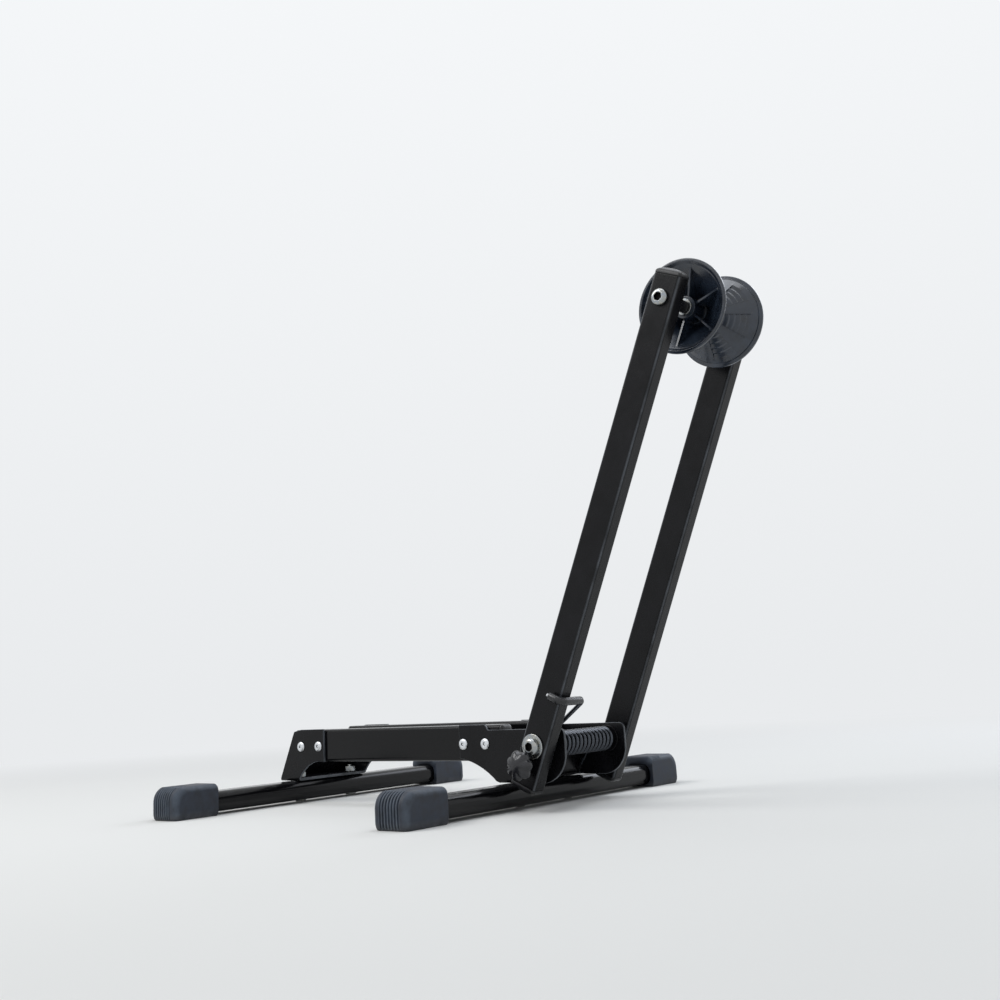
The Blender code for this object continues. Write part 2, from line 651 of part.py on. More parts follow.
def bar_bolts():
    """Bolts up through bar and web, with a thin head under the bar and a nut on the web."""
    bottom = BAR_BOTTOM - GAP
    seat = WEB_TOP + GAP
    tip = seat + BAR_NUT_HEIGHT + BAR_BOLT_PAST_NUT
    profile = [
        (tip, 0.0),
        (tip, BAR_BOLT_RADIUS * 0.75),
        (tip - BAR_BOLT_RADIUS * 0.25, BAR_BOLT_RADIUS),
        (bottom, BAR_BOLT_RADIUS),
        (bottom, BAR_BOLT_HEAD_RADIUS),
        (bottom - BAR_BOLT_HEAD_HEIGHT, BAR_BOLT_HEAD_RADIUS * 0.85),
        (bottom - BAR_BOLT_HEAD_HEIGHT, 0.0),
    ]
    for row, x in (("front", FRONT_BAR_X), ("rear", REAR_BAR_X - REAR_BAR_BOLT_FORWARD)):
        for side, sign in SIDES.items():
            bolt = piece(f"bar_bolt_{row}_{side}", turned(profile, SMALL_ROUND), BRIGHT_ZINC)
            nut = hex_nut(
                f"bar_nut_{row}_{side}", BAR_NUT_ACROSS_FLATS, BAR_BOLT_RADIUS, seat, BAR_NUT_HEIGHT
            )
            for made in (bolt, *nut):
                made.location = (x, sign * BAR_BOLT_SPREAD, 0.0)
                made.rotation_euler = (math.pi / 2, 0.0, 0.0)


def hex_nut(name, across_flats, bolt_radius, low, height, parent=None):
    """Hexagon nut about Y from low to low plus height, and the cutter of its bore."""
    outline = circle(across_flats / math.sqrt(3), 6, phase=math.pi / 6)
    nut = piece(name, prism(outline, "y", low, low + height), BRIGHT_ZINC, parent)
    hole = circle(bolt_radius + STEEL_HOLE_PLAY, SMALL_ROUND)
    bore = tool(name + "_bore", prism(hole, "y", low - OVERCUT, low + height + OVERCUT), parent)
    boolean(nut, bore, "DIFFERENCE")
    return nut, bore


def button_bolt(name, head_y, tip_y, parent):
    """Button-head bolt along Y with a hexagon socket in its head, head on the near side."""
    crown = head_y - BOLT_HEAD_HEIGHT
    profile = [
        (crown, 0.0),
        (crown, BOLT_HEAD_RADIUS * 0.5),
        (crown + BOLT_HEAD_HEIGHT * 0.25, BOLT_HEAD_RADIUS * 0.82),
        (crown + BOLT_HEAD_HEIGHT * 0.6, BOLT_HEAD_RADIUS),
        (head_y, BOLT_HEAD_RADIUS),
        (head_y, BOLT_RADIUS),
        (tip_y - BOLT_RADIUS * 0.2, BOLT_RADIUS),
        (tip_y, BOLT_RADIUS * 0.8),
        (tip_y, 0.0),
    ]
    bolt = piece(name, turned(profile, SMALL_ROUND * 2), BRIGHT_ZINC, parent)
    hexagon = circle(SOCKET_ACROSS_FLATS / math.sqrt(3), 6)
    socket = tool(name + "_socket", prism(hexagon, "y", crown - OVERCUT, crown + SOCKET_DEPTH), parent)
    boolean(bolt, socket, "DIFFERENCE")
    return bolt


def pivot_sleeve():
    """Steel tube that the spring turns on, with a washer against each cheek."""
    washer_in = CHEEK_INNER_Y - GAP - SLEEVE_WASHER_THICKNESS
    centre = (PIVOT_X, 0.0, PIVOT_HEIGHT)
    reach = washer_in - GAP
    sleeve = piece(
        "pivot_sleeve", washer(-reach, reach, HOLE_RADIUS, SLEEVE_RADIUS, SMALL_ROUND), SATIN_BLACK_STEEL
    )
    sleeve.location = centre
    for side, sign in SIDES.items():
        shape = washer(washer_in, CHEEK_INNER_Y - GAP, HOLE_RADIUS, SLEEVE_WASHER_RADIUS, SMALL_ROUND * 2)
        ring = piece(f"sleeve_washer_{side}", shape, SATIN_BLACK_STEEL)
        place(ring, centre, 0.0 if sign > 0 else math.pi)


def pivot_fasteners(pivot):
    """Bolt, nut, outer washers and the spacers that keep the arms off the cheeks."""
    washer_out = ARM_OUTER_Y + GAP + PIVOT_WASHER_THICKNESS
    seat = washer_out + GAP
    button_bolt("pivot_bolt", -seat, seat + NUT_HEIGHT + BOLT_PAST_NUT, pivot)
    hex_nut("pivot_nut", NUT_ACROSS_FLATS, BOLT_RADIUS, seat, NUT_HEIGHT, pivot)
    for side, sign in SIDES.items():
        turn = 0.0 if sign > 0 else math.pi
        shape = washer(ARM_OUTER_Y + GAP, washer_out, HOLE_RADIUS, PIVOT_WASHER_RADIUS, SMALL_ROUND * 2)
        place(piece(f"pivot_washer_{side}", shape, BRIGHT_ZINC, pivot), (0, 0, 0), turn)
        shape = washer(CHEEK_OUTER_Y + GAP, ARM_INNER_Y - GAP, HOLE_RADIUS, PIVOT_SPACER_RADIUS, SMALL_ROUND)
        place(piece(f"pivot_spacer_{side}", shape, BLACK_PLASTIC, pivot), (0, 0, 0), turn)


def arm(side, sign, pivot):
    """Rectangular tube from below the pivot to above the axle, plugged at both ends."""
    middle = (0.0, sign * ARM_MIDDLE_Y)
    top = ARM_REACH + ARM_HEAD
    outline = rounded_box(ARM_DEPTH, ARM_WIDTH, ARM_CORNER, middle)
    tube = piece(f"arm_{side}", prism(outline, "z", -ARM_TAIL, top), SATIN_BLACK_STEEL, pivot)
    inside = rounded_box(
        ARM_DEPTH - 2 * ARM_WALL, ARM_WIDTH - 2 * ARM_WALL, ARM_CORNER - ARM_WALL, middle
    )
    bore = prism(inside, "z", -ARM_TAIL - OVERCUT, top + OVERCUT)
    boolean(tube, tool(f"arm_{side}_inside", bore, pivot), "DIFFERENCE")
    reach = sorted((sign * (ARM_INNER_Y - OVERCUT), sign * (ARM_OUTER_Y + OVERCUT)))
    for label, height in (("pivot", 0.0), ("axle", ARM_REACH)):
        hole = prism(circle(HOLE_RADIUS, SMALL_ROUND, (0.0, height)), "y", *reach)
        boolean(tube, tool(f"arm_{side}_{label}_hole", hole, pivot), "DIFFERENCE")
    for end, z, turn in (("top", top, 0.0), ("bottom", -ARM_TAIL, math.pi)):
        shape = plug_mesh(ARM_DEPTH, ARM_WIDTH, ARM_CORNER, ARM_WALL, ARM_PLUG_DOME, ARM_PLUG_SKIRT)
        plug = piece(f"arm_plug_{end}_{side}", shape, BLACK_PLASTIC, pivot)
        plug.location = (0.0, sign * ARM_MIDDLE_Y, z)
        plug.rotation_euler = (0.0, turn, 0.0)
    return tube


def knob_holes(near_arm, pivot):
    """Holes in the near arm for the clamp stud and, in the inner wall, for its insert."""
    outer = (-ARM_OUTER_Y - OVERCUT, -ARM_MIDDLE_Y)
    inner = (-ARM_MIDDLE_Y, -ARM_INNER_Y + OVERCUT)
    for label, radius, ends in (("stud", KNOB_STUD_RADIUS, outer), ("insert", INSERT_RADIUS, inner)):
        outline = circle(radius + STEEL_HOLE_PLAY, SMALL_ROUND, (0.0, -KNOB_DROP))
        hole = prism(outline, "y", *ends)
        boolean(near_arm, tool(f"arm_near_{label}_hole", hole, pivot), "DIFFERENCE")


def knob_mesh():
    """Lobed knob along -Y: a round neck that opens into a fluted head with a domed front."""
    points = KNOB_LOBES * 6
    start = -ARM_OUTER_Y - GAP
    head = start - KNOB_NECK_LENGTH
    stations = [
        (start, KNOB_NECK_RADIUS, 0.0),
        (head, KNOB_NECK_RADIUS, 0.0),
        (head, KNOB_RADIUS * 0.85, 0.6),
        (head - KNOB_HEAD_LENGTH * 0.15, KNOB_RADIUS, 1.0),
        (head - KNOB_HEAD_LENGTH * 0.7, KNOB_RADIUS, 1.0),
        (head - KNOB_HEAD_LENGTH * 0.93, KNOB_RADIUS * 0.86, 0.7),
        (head - KNOB_HEAD_LENGTH, KNOB_RADIUS * 0.6, 0.2),
    ]
    rings = []
    for y, radius, lobed in stations:
        ring = []
        for index in range(points):
            angle = 2 * math.pi * index / points
            reach = radius + lobed * KNOB_LOBE_HEIGHT * math.cos(KNOB_LOBES * angle)
            ring.append((reach * math.cos(angle), y, reach * math.sin(angle)))
        rings.append(ring)
    return loft(rings)


def clamp_knob(pivot):
    """Knob that clamps the near arm against the cheek, its stud and the threaded insert."""
    axis = empty("knob_axis", (0.0, 0.0, -KNOB_DROP), pivot)
    stud_end = -ARM_OUTER_Y - GAP - KNOB_STUD_DEPTH
    knob = piece("clamp_knob", knob_mesh(), BLACK_PLASTIC, axis)
    bore = prism(circle(KNOB_STUD_RADIUS + GAP, SMALL_ROUND), "y", stud_end - GAP, -ARM_OUTER_Y)
    boolean(knob, tool("clamp_knob_bore", bore, axis), "DIFFERENCE")
    stud = prism(circle(KNOB_STUD_RADIUS, SMALL_ROUND), "y", stud_end, -CHEEK_OUTER_Y - GAP)
    piece("knob_stud", stud, BRIGHT_ZINC, axis)
    flange_back = -ARM_INNER_Y + GAP
    bore_radius = KNOB_STUD_RADIUS + GAP
    profile = [
        (flange_back + INSERT_FLANGE_THICKNESS, bore_radius),
        (flange_back + INSERT_FLANGE_THICKNESS, INSERT_FLANGE_RADIUS),
        (flange_back, INSERT_FLANGE_RADIUS),
        (flange_back, INSERT_RADIUS),
        (flange_back - ARM_WALL - INSERT_PAST_WALL, INSERT_RADIUS),
        (flange_back - ARM_WALL - INSERT_PAST_WALL, bore_radius),
    ]
    insert = piece("knob_insert", turned(profile, SMALL_ROUND), BRIGHT_ZINC, pivot)
    insert.location = axis.location


def roller_face_y(radius):
    """Y of the roller's conical front face at a radius."""
    rim_radius = ROLLER_RADIUS - ROLLER_RIM_BAND
    rim_y = ROLLER_RIM_Y - ROLLER_RIM_BAND
    share = (radius - ROLLER_HUB_RADIUS) / (rim_radius - ROLLER_HUB_RADIUS)
    return ROLLER_NECK + share * (rim_y - ROLLER_NECK)


def roller_profile():
    """Half section of a roller: hub, stepped cone, rim with a lip, and the hollow back."""
    inner_radius = ROLLER_HUB_RADIUS + ROLLER_PLAIN_INSIDE
    outer_radius = ROLLER_RADIUS - ROLLER_RIM_BAND - ROLLER_PLAIN_OUTSIDE
    rim_radius = ROLLER_RADIUS - ROLLER_RIM_BAND
    slope = math.atan2(rim_radius - ROLLER_HUB_RADIUS, ROLLER_RIM_Y - ROLLER_RIM_BAND - ROLLER_NECK)
    behind = ROLLER_SHELL / math.sin(slope)
    bore = BOLT_RADIUS + GAP + BUSH_WALL + GAP
    profile = [(GAP, bore), (GAP, ROLLER_HUB_RADIUS), (ROLLER_NECK, ROLLER_HUB_RADIUS)]
    for step in range(ROLLER_STEPS):
        radius = inner_radius + (outer_radius - inner_radius) * step / ROLLER_STEPS
        profile.append((roller_face_y(radius), radius))
        profile.append((roller_face_y(radius) + ROLLER_STEP_DEPTH, radius + ROLLER_STEP_DEPTH / 4))
    back_radius = ROLLER_RADIUS - ROLLER_LIP
    profile += [
        (roller_face_y(outer_radius), outer_radius),
        (roller_face_y(rim_radius), rim_radius),
        (ROLLER_RIM_Y - ROLLER_RIM_BAND * 0.35, ROLLER_RADIUS - ROLLER_RIM_BAND * 0.18),
        (ROLLER_RIM_Y, ROLLER_RADIUS),
        (ROLLER_RIM_Y + ROLLER_LIP * 0.4, ROLLER_RADIUS - ROLLER_LIP * 0.35),
        (ROLLER_RIM_Y + ROLLER_LIP * 0.4, back_radius),
        (roller_face_y(back_radius - ROLLER_LIP) + behind, back_radius - ROLLER_LIP * 0.8),
        (roller_face_y(ROLLER_HUB_RADIUS) + behind, ROLLER_HUB_RADIUS),
        (ROLLER_HUB_BACK, ROLLER_HUB_RADIUS),
        (ROLLER_HUB_BACK, bore),
    ]
    return profile


def radial_slabs(outline, thickness, count, phase):
    """Slabs with a (y, radius) outline, repeated round the Y axis."""
    bm = bmesh.new()
    for index in range(count):
        angle = phase + 2 * math.pi * index / count
        out = Vector((math.cos(angle), 0.0, math.sin(angle)))
        across = Vector((-math.sin(angle), 0.0, math.cos(angle))) * thickness / 2
        rows = []
        for sign in (-1, 1):
            points = [out * radius + Vector((0, y, 0)) + sign * across for y, radius in outline]
            rows.append([bm.verts.new(point) for point in points])
        low, high = rows
        for place_in_row in range(len(outline)):
            after = (place_in_row + 1) % len(outline)
            bm.faces.new((low[place_in_row], low[after], high[after], high[place_in_row]))
        bm.faces.new(low)
        bm.faces.new(high)
    return bm


def roller(side, sign, axle):
    """Cone roller with ribs in its hollow back and ridges across its stepped face."""
    body = piece(f"roller_{side}", turned(roller_profile(), BIG_ROUND), BLACK_PLASTIC, axle)
    root = ROLLER_HUB_RADIUS - BUSH_WALL / 2
    tip = ROLLER_RADIUS - ROLLER_RIM_BAND - ROLLER_RIB_RECESS
    sink = ROLLER_SHELL / 2
    back = ROLLER_RIM_Y - ROLLER_RIB_RECESS
    ribs = [(roller_face_y(root) + sink * 2, root), (ROLLER_HUB_BACK - ROLLER_RIB_RECESS, root)]
    ribs += [(back, tip), (roller_face_y(tip) + sink, tip)]
    ribs_tool = tool(
        f"roller_{side}_ribs", radial_slabs(ribs, ROLLER_RIB_THICKNESS, ROLLER_RIBS, math.radians(12)), axle
    )
    low = ROLLER_HUB_RADIUS + ROLLER_PLAIN_INSIDE / 2
    high = ROLLER_RADIUS - ROLLER_RIM_BAND - ROLLER_PLAIN_OUTSIDE / 2
    ridge = [
        (roller_face_y(low) - ROLLER_RIDGE_HEIGHT, low),
        (roller_face_y(high) - ROLLER_RIDGE_HEIGHT, high),
        (roller_face_y(high) + sink, high),
        (roller_face_y(low) + sink, low),
    ]
    ridge_tool = tool(
        f"roller_{side}_ridges", radial_slabs(ridge, ROLLER_RIDGE_WIDTH, ROLLER_RIBS, math.radians(12)), axle
    )
    turn = 0.0 if sign > 0 else math.pi
    for made in (body, ribs_tool, ridge_tool):
        place(made, (0, 0, 0), turn)
    boolean(body, ribs_tool, "UNION")
    boolean(body, ridge_tool, "UNION")
    bush = washer(GAP, ROLLER_HUB_BACK, HOLE_RADIUS, HOLE_RADIUS + BUSH_WALL - GAP / 2, SMALL_ROUND * 2)
    place(piece(f"roller_bush_{side}", bush, BRIGHT_ZINC, axle), (0, 0, 0), turn)


def axle_parts(axle):
    """Bolt through both arms with its nut, washers behind the hubs and spacers to the arms."""
    seat = ARM_OUTER_Y + GAP
    button_bolt("axle_bolt", -seat, seat + NUT_HEIGHT + BOLT_PAST_NUT, axle)
    hex_nut("axle_nut", NUT_ACROSS_FLATS, BOLT_RADIUS, seat, NUT_HEIGHT, axle)
    washer_in = ROLLER_HUB_BACK + GAP
    washer_out = washer_in + AXLE_WASHER_THICKNESS
    for side, sign in SIDES.items():
        turn = 0.0 if sign > 0 else math.pi
        shape = washer(washer_in, washer_out, HOLE_RADIUS, AXLE_WASHER_RADIUS, SMALL_ROUND * 2)
        place(piece(f"axle_washer_{side}", shape, BRIGHT_ZINC, axle), (0, 0, 0), turn)
        shape = washer(
            washer_out + GAP, ARM_INNER_Y - GAP, HOLE_RADIUS, HOLE_RADIUS + AXLE_SPACER_WALL, SMALL_ROUND
        )
        place(piece(f"axle_spacer_{side}", shape, BLACK_PLASTIC, axle), (0, 0, 0), turn)


def bent(points, radius, steps=4):
    """Path through corner points, with each inner corner turned on an arc."""
    path = [Vector(points[0])]
    for before, corner, after in zip(points, points[1:], points[2:]):
        corner = Vector(corner)
        back = (Vector(before) - corner).normalized()
        ahead = (Vector(after) - corner).normalized()
        half = back.angle(ahead) / 2
        centre = corner + (back + ahead).normalized() * radius / math.sin(half)
        start = corner + back * radius / math.tan(half) - centre
        end = corner + ahead * radius / math.tan(half) - centre
        sweep = start.angle(end)
        for step in range(steps + 1):
            share = step / steps
            arm_of_arc = start * math.sin((1 - share) * sweep) + end * math.sin(share * sweep)
            path.append(centre + arm_of_arc / math.sin(sweep))
    path.append(Vector(points[-1]))
    return path


def hook_line():
    """Where the hook's middle line runs, behind and outside the near arm: x, y and height."""
    clear = GAP + WIRE_DIAMETER / 2 + GAP + HOOK_SLEEVE_WALL
    return ARM_DEPTH / 2 + clear, -(ARM_OUTER_Y + clear), HOOK_HEIGHT


def spring_path():
    """Wire from the hook tip round the near arm, down to the coil and on to the cradle wall."""
    x, y, z = hook_line()
    tangent = math.acos(COIL_RADIUS / math.hypot(x, z))
    near_angle = math.atan2(z, x) + tangent
    leg_clear = (SHEET / 2 + WIRE_DIAMETER / 2 + GAP) / math.cos(CRADLE_LEAN)
    leg_z = WEB_TOP + FAR_LEG_OVER_WEB
    leg_x = REAR_CRADLE_X + (leg_z - WEB_MIDDLE) * math.tan(CRADLE_LEAN) + leg_clear
    leg = Vector((leg_x - PIVOT_X, leg_z - PIVOT_HEIGHT))
    far_angle = math.atan2(leg.y, leg.x) + ARM_LEAN - math.acos(COIL_RADIUS / leg.length)
    sweep = (far_angle - near_angle) % (2 * math.pi) + 2 * math.pi * COIL_TURNS
    count = round(COIL_POINTS_PER_TURN * sweep / (2 * math.pi))
    coil = []
    for index in range(count + 1):
        share = index / count
        angle = near_angle + sweep * share
        across = COIL_NEAR_Y + (COIL_FAR_Y - COIL_NEAR_Y) * share
        coil.append(Vector((COIL_RADIUS * math.cos(angle), across, COIL_RADIUS * math.sin(angle))))
    hook = bent([(HOOK_TIP, y, z), (x, y, z), (x, COIL_NEAR_Y, z), coil[0]], HOOK_BEND)
    lean = Vector((math.cos(ARM_LEAN), math.sin(ARM_LEAN)))
    leg_end = Vector((leg.x * lean.x - leg.y * lean.y, COIL_FAR_Y, leg.x * lean.y + leg.y * lean.x))
    return hook + coil[1:] + [leg_end]


def least_self_gap(path, diameter):
    """Least air between parts of the wire that are more than half a turn apart along it."""
    dense = []
    for start, end in zip(path, path[1:]):
        pieces = max(1, round((end - start).length / (diameter / 2)))
        dense += [(start.lerp(end, step / pieces), (end - start).length / pieces) for step in range(pieces)]
    travel = 0.0
    marks = []
    for point, length in dense:
        marks.append((travel, point))
        travel += length
    apart = math.pi * COIL_RADIUS
    least = min(
        (there - here).length
        for index, (start, here) in enumerate(marks)
        for end, there in marks[index + 1 :]
        if end - start > apart
    )
    return least - diameter


def torsion_spring(pivot):
    """One unbroken wire: hook, leg, coil and far leg."""
    path = spring_path()
    curve = bpy.data.curves.new("torsion_spring", "CURVE")
    curve.dimensions = "3D"
    curve.bevel_depth = WIRE_DIAMETER / 2
    curve.bevel_resolution = 1
    curve.use_fill_caps = True
    spline = curve.splines.new("POLY")
    spline.points.add(len(path) - 1)
    for point, place_on_path in zip(spline.points, path):
        point.co = (*place_on_path, 1.0)
    spring = bpy.data.objects.new("torsion_spring", curve)
    spring.parent = pivot
    bpy.context.scene.collection.objects.link(spring)
    set_finish(spring, DARK_SPRING_STEEL)
    print(f"least gap of the spring's wire to itself: {least_self_gap(path, WIRE_DIAMETER) * 1000:.2f} mm")


def pipe_mesh(path, bore, radius, sides):
    """Open pipe along a path: outer skin, bore and two flat ends."""
    bm = bmesh.new()
    up = Vector((0.0, 0.0, 1.0))
    rows = []
    for index, point in enumerate(path):
        ahead = path[min(index + 1, len(path) - 1)] - path[max(index - 1, 0)]
        side = ahead.normalized().cross(up)
        row = []
        for reach in (radius, bore):
            ring = [2 * math.pi * step / sides for step in range(sides)]
            row.append([bm.verts.new(point + reach * (side * math.cos(t) + up * math.sin(t))) for t in ring])
        rows.append(row)
    for step in range(sides):
        after = (step + 1) % sides
        for low, high in zip(rows, rows[1:]):
            for skin in (0, 1):
                bm.faces.new((low[skin][step], low[skin][after], high[skin][after], high[skin][step]))
        for outer, inner in (rows[0], rows[-1]):
            bm.faces.new((outer[step], outer[after], inner[after], inner[step]))
    return bm


def hook_sleeve(pivot):
    """Plastic pipe over the spring's hook, which keeps the wire off the arm's paint."""
    x, y, z = hook_line()
    corners = [(x, COIL_NEAR_Y - HOOK_BEND, z), (x, y, z), (HOOK_TIP + HOOK_BARE_TIP, y, z)]
    bore = WIRE_DIAMETER / 2 + GAP
    shape = pipe_mesh(bent(corners, HOOK_BEND), bore, bore + HOOK_SLEEVE_WALL, SMALL_ROUND)
    piece("spring_hook_sleeve", shape, BLACK_PLASTIC, pivot)


def build():
    """Model the stand from the floor up."""
    for old in list(bpy.data.objects):
        bpy.data.objects.remove(old, do_unlink=True)
    floor_bar("front_bar", FRONT_BAR_X, FRONT_BAR_X)
    floor_bar("rear_bar", REAR_BAR_X, REAR_BAR_X - REAR_BAR_BOLT_FORWARD)
    feet()
    rails()
    brackets()
    rail_rivets()
    bar_bolts()
    pivot_sleeve()
    pivot = empty("arm_pivot", (PIVOT_X, 0.0, PIVOT_HEIGHT))
    pivot.rotation_euler = (0.0, ARM_LEAN, 0.0)
    arms = {side: arm(side, sign, pivot) for side, sign in SIDES.items()}
    knob_holes(arms["near"], pivot)
    pivot_fasteners(pivot)
    clamp_knob(pivot)
    torsion_spring(pivot)
    hook_sleeve(pivot)
    axle = empty("roller_axle", (0.0, 0.0, ARM_REACH), pivot)
    for side, sign in SIDES.items():
        roller(side, sign, axle)
    axle_parts(axle)


build()
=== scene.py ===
import math

import bmesh
import bpy
import numpy as np
from mathutils import Matrix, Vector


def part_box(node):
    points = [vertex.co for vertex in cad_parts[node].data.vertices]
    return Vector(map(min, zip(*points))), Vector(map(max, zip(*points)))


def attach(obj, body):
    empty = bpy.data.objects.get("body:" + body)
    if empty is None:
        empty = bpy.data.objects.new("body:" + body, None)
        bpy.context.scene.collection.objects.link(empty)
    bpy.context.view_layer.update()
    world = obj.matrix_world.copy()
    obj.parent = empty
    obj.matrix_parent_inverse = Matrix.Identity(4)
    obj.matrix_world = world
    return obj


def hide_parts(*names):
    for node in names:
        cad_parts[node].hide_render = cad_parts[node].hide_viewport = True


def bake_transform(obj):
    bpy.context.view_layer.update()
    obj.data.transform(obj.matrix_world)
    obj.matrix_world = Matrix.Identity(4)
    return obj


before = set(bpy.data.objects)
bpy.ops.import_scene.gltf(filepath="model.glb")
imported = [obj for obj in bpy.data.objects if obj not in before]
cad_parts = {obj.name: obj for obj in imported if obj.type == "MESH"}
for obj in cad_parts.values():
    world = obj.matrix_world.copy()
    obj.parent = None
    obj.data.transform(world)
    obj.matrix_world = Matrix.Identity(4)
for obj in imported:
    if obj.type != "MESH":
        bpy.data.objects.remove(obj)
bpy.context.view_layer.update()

# Lengths are metres. X runs from where the wheel rolls in to the arms at the rear, Y across the stand
# with the near side negative, and Z up from the floor.
SIDES = {"near": -1, "far": 1}
ROWS = ("front", "rear")


# Floor bars
# Two flat-oval steel tubes, roll-formed and sawn to length, that carry the stand across the floor.
# They are punched for two bolts, powder-coated gloss black, and pushed into the feet at both ends.
BAR_WIDTH = 0.026
BAR_HEIGHT = 0.018
BAR_LENGTH = 0.384
BAR_CORNER = 0.007
TUBE_WALL = 0.0015
SAWN_EDGE = 0.0003
SKIN_MARGIN = 0.0006
THIRD_ALONG_Y = ((1, 0, 0), (0, 0, 1), (0, 1, 0))


def rounded_rectangle(width, height, corner, steps=8, margin=0.0004):
    """Closed outline: four quarter circles about the corners of an inner rectangle. Each quarter has one
    more point a little way along the flat at both of its ends, so that the flats shade flat."""
    turn = np.linspace(0, math.pi / 2, steps + 1)
    arc = corner * np.stack([np.cos(turn), np.sin(turn)], -1)
    quarter = np.concatenate([arc[:1] - [0, margin], arc, arc[-1:] - [margin, 0]])
    turned_on = np.array([[[1, 0], [0, 1]], [[0, 1], [-1, 0]], [[-1, 0], [0, -1]], [[0, -1], [1, 0]]])
    centres = np.array([[1, 1], [-1, 1], [-1, -1], [1, -1]]) * [width / 2 - corner, height / 2 - corner]
    return (quarter @ turned_on + centres[:, None]).reshape(-1, 2)


def stacked(outlines, heights):
    """Rows of points: each flat outline at its own height on the third axis."""
    return np.array([np.insert(outline, 2, height, axis=1) for outline, height in zip(outlines, heights)])


def tube(width, height, corner, length):
    """Rows of a hollow tube along its third axis: out along the outer skin, over the far end's two
    quarter-round edges, back along the bore, and over the near end to the start again."""
    turn = np.linspace(0, math.pi / 2, 4)
    inset = SAWN_EDGE * (1 - np.cos(turn))
    rise = length - SAWN_EDGE * (1 - np.sin(turn))
    inset = np.r_[0, inset, TUBE_WALL - inset[::-1], TUBE_WALL]
    rise = np.r_[rise[0] - SKIN_MARGIN, rise, rise[::-1], rise[0] - SKIN_MARGIN]
    inset, rise = np.r_[inset, inset[::-1]], np.r_[rise, length - rise[::-1]]
    outlines = [rounded_rectangle(width - 2 * i, height - 2 * i, max(corner - i, SAWN_EDGE)) for i in inset]
    return stacked(outlines, rise)


def numbered(rows, first=0):
    """Table of point numbers, counted row by row."""
    return np.arange(rows[..., 0].size).reshape(rows.shape[:2]) + first


def sheet_quads(number):
    """Quads between the neighbours in a table of point numbers."""
    corners = number[:-1, :-1], number[:-1, 1:], number[1:, 1:], number[1:, :-1]
    return np.stack(corners, -1).reshape(-1, 4)


def closed_quads(number, loop=False):
    """Quads of a table whose rows are closed rings, and whose last row meets the first if it loops."""
    return sheet_quads(np.pad(number, ((0, int(loop)), (0, 1)), mode="wrap")).tolist()


def lay(points, origin, axes):
    """Put local points in the stand: origin plus each local coordinate along its own direction."""
    return np.asarray(points) @ np.array(axes, float) + np.asarray(origin, float)


def shape_object(name, points, faces, material, crisp=40.0, mark=None):
    """Mesh object whose doubles are merged and faces point outwards, with crisp edges over an angle. A
    mark is one number for each point, kept as an attribute that the materials read."""
    mesh = bpy.data.meshes.new(name)
    mesh.from_pydata(np.reshape(points, (-1, 3)).tolist(), [], faces)
    if mark is not None:
        mesh.attributes.new("mark", "FLOAT", "POINT").data.foreach_set("value", np.ravel(mark).astype("f"))
    shaped = bmesh.new()
    shaped.from_mesh(mesh)
    bmesh.ops.remove_doubles(shaped, verts=shaped.verts, dist=1e-7)
    bmesh.ops.recalc_face_normals(shaped, faces=shaped.faces)
    shaped.to_mesh(mesh)
    shaped.free()
    mesh.shade_smooth()
    mesh.set_sharp_from_angle(angle=math.radians(crisp))
    mesh.materials.append(material)
    made = bpy.data.objects.new(name, mesh)
    bpy.context.scene.collection.objects.link(made)
    return made


def piece(name, points, faces, material, *, rides, replaces, slot, **options):
    """Mesh object that rides on a body and replaces a CAD node. The slot is not used."""
    made = shape_object(name, points, faces, material, **options)
    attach(made, rides)
    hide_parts(replaces)


def ringed(name, rows, origin, axes, material, *, loop=False, caps=0, **options):
    """Piece skinned over closed rows of local points. The last row meets the first if it loops, and caps
    says how many of the first and the last row are closed by a flat face."""
    faces = closed_quads(numbered(rows), loop) + numbered(rows)[[0, -1][:caps]].tolist()
    piece(name, lay(rows, origin, axes), faces, material, **options)


def middle_of(node):
    """Middle of a CAD node's box."""
    low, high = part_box(node)
    return (np.array(low) + np.array(high)) / 2


def linear(code):
    """Linear RGBA of an sRGB hex colour: over 12.92 near black, the 2.4 power curve above it."""
    srgb = np.array([int(code[index : index + 2], 16) for index in (1, 3, 5)]) / 255
    value = np.where(srgb <= 0.04045, srgb / 12.92, ((srgb + 0.055) / 1.055) ** 2.4)
    return (*value.tolist(), 1.0)


def feed(tree, node, inputs):
    """Set each of a node's inputs, or link it where its value is another node's output. A string is a hex
    colour."""
    for key, value in inputs.items():
        if isinstance(value, bpy.types.NodeSocket):
            tree.links.new(value, node.inputs[key])
        else:
            node.inputs[key].default_value = linear(value) if isinstance(value, str) else value


def add(tree, kind, inputs, out=0, **settings):
    """Add a shader node with its settings and inputs, and hand back one of its outputs."""
    made = tree.nodes.new("ShaderNode" + kind)
    for key, value in settings.items():
        setattr(made, key, value)
    feed(tree, made, inputs)
    return made.outputs[out]


def new_finish(name, **constants):
    """Material with constants on its shader's own sockets, and its object-space place in metres."""
    material = bpy.data.materials.new(name)
    material.use_nodes = True
    tree = material.node_tree
    shader = tree.nodes["Principled BSDF"]
    feed(tree, shader, {key.replace("_", " "): value for key, value in constants.items()})
    return material, tree, shader, add(tree, "TexCoord", {}, out="Object")


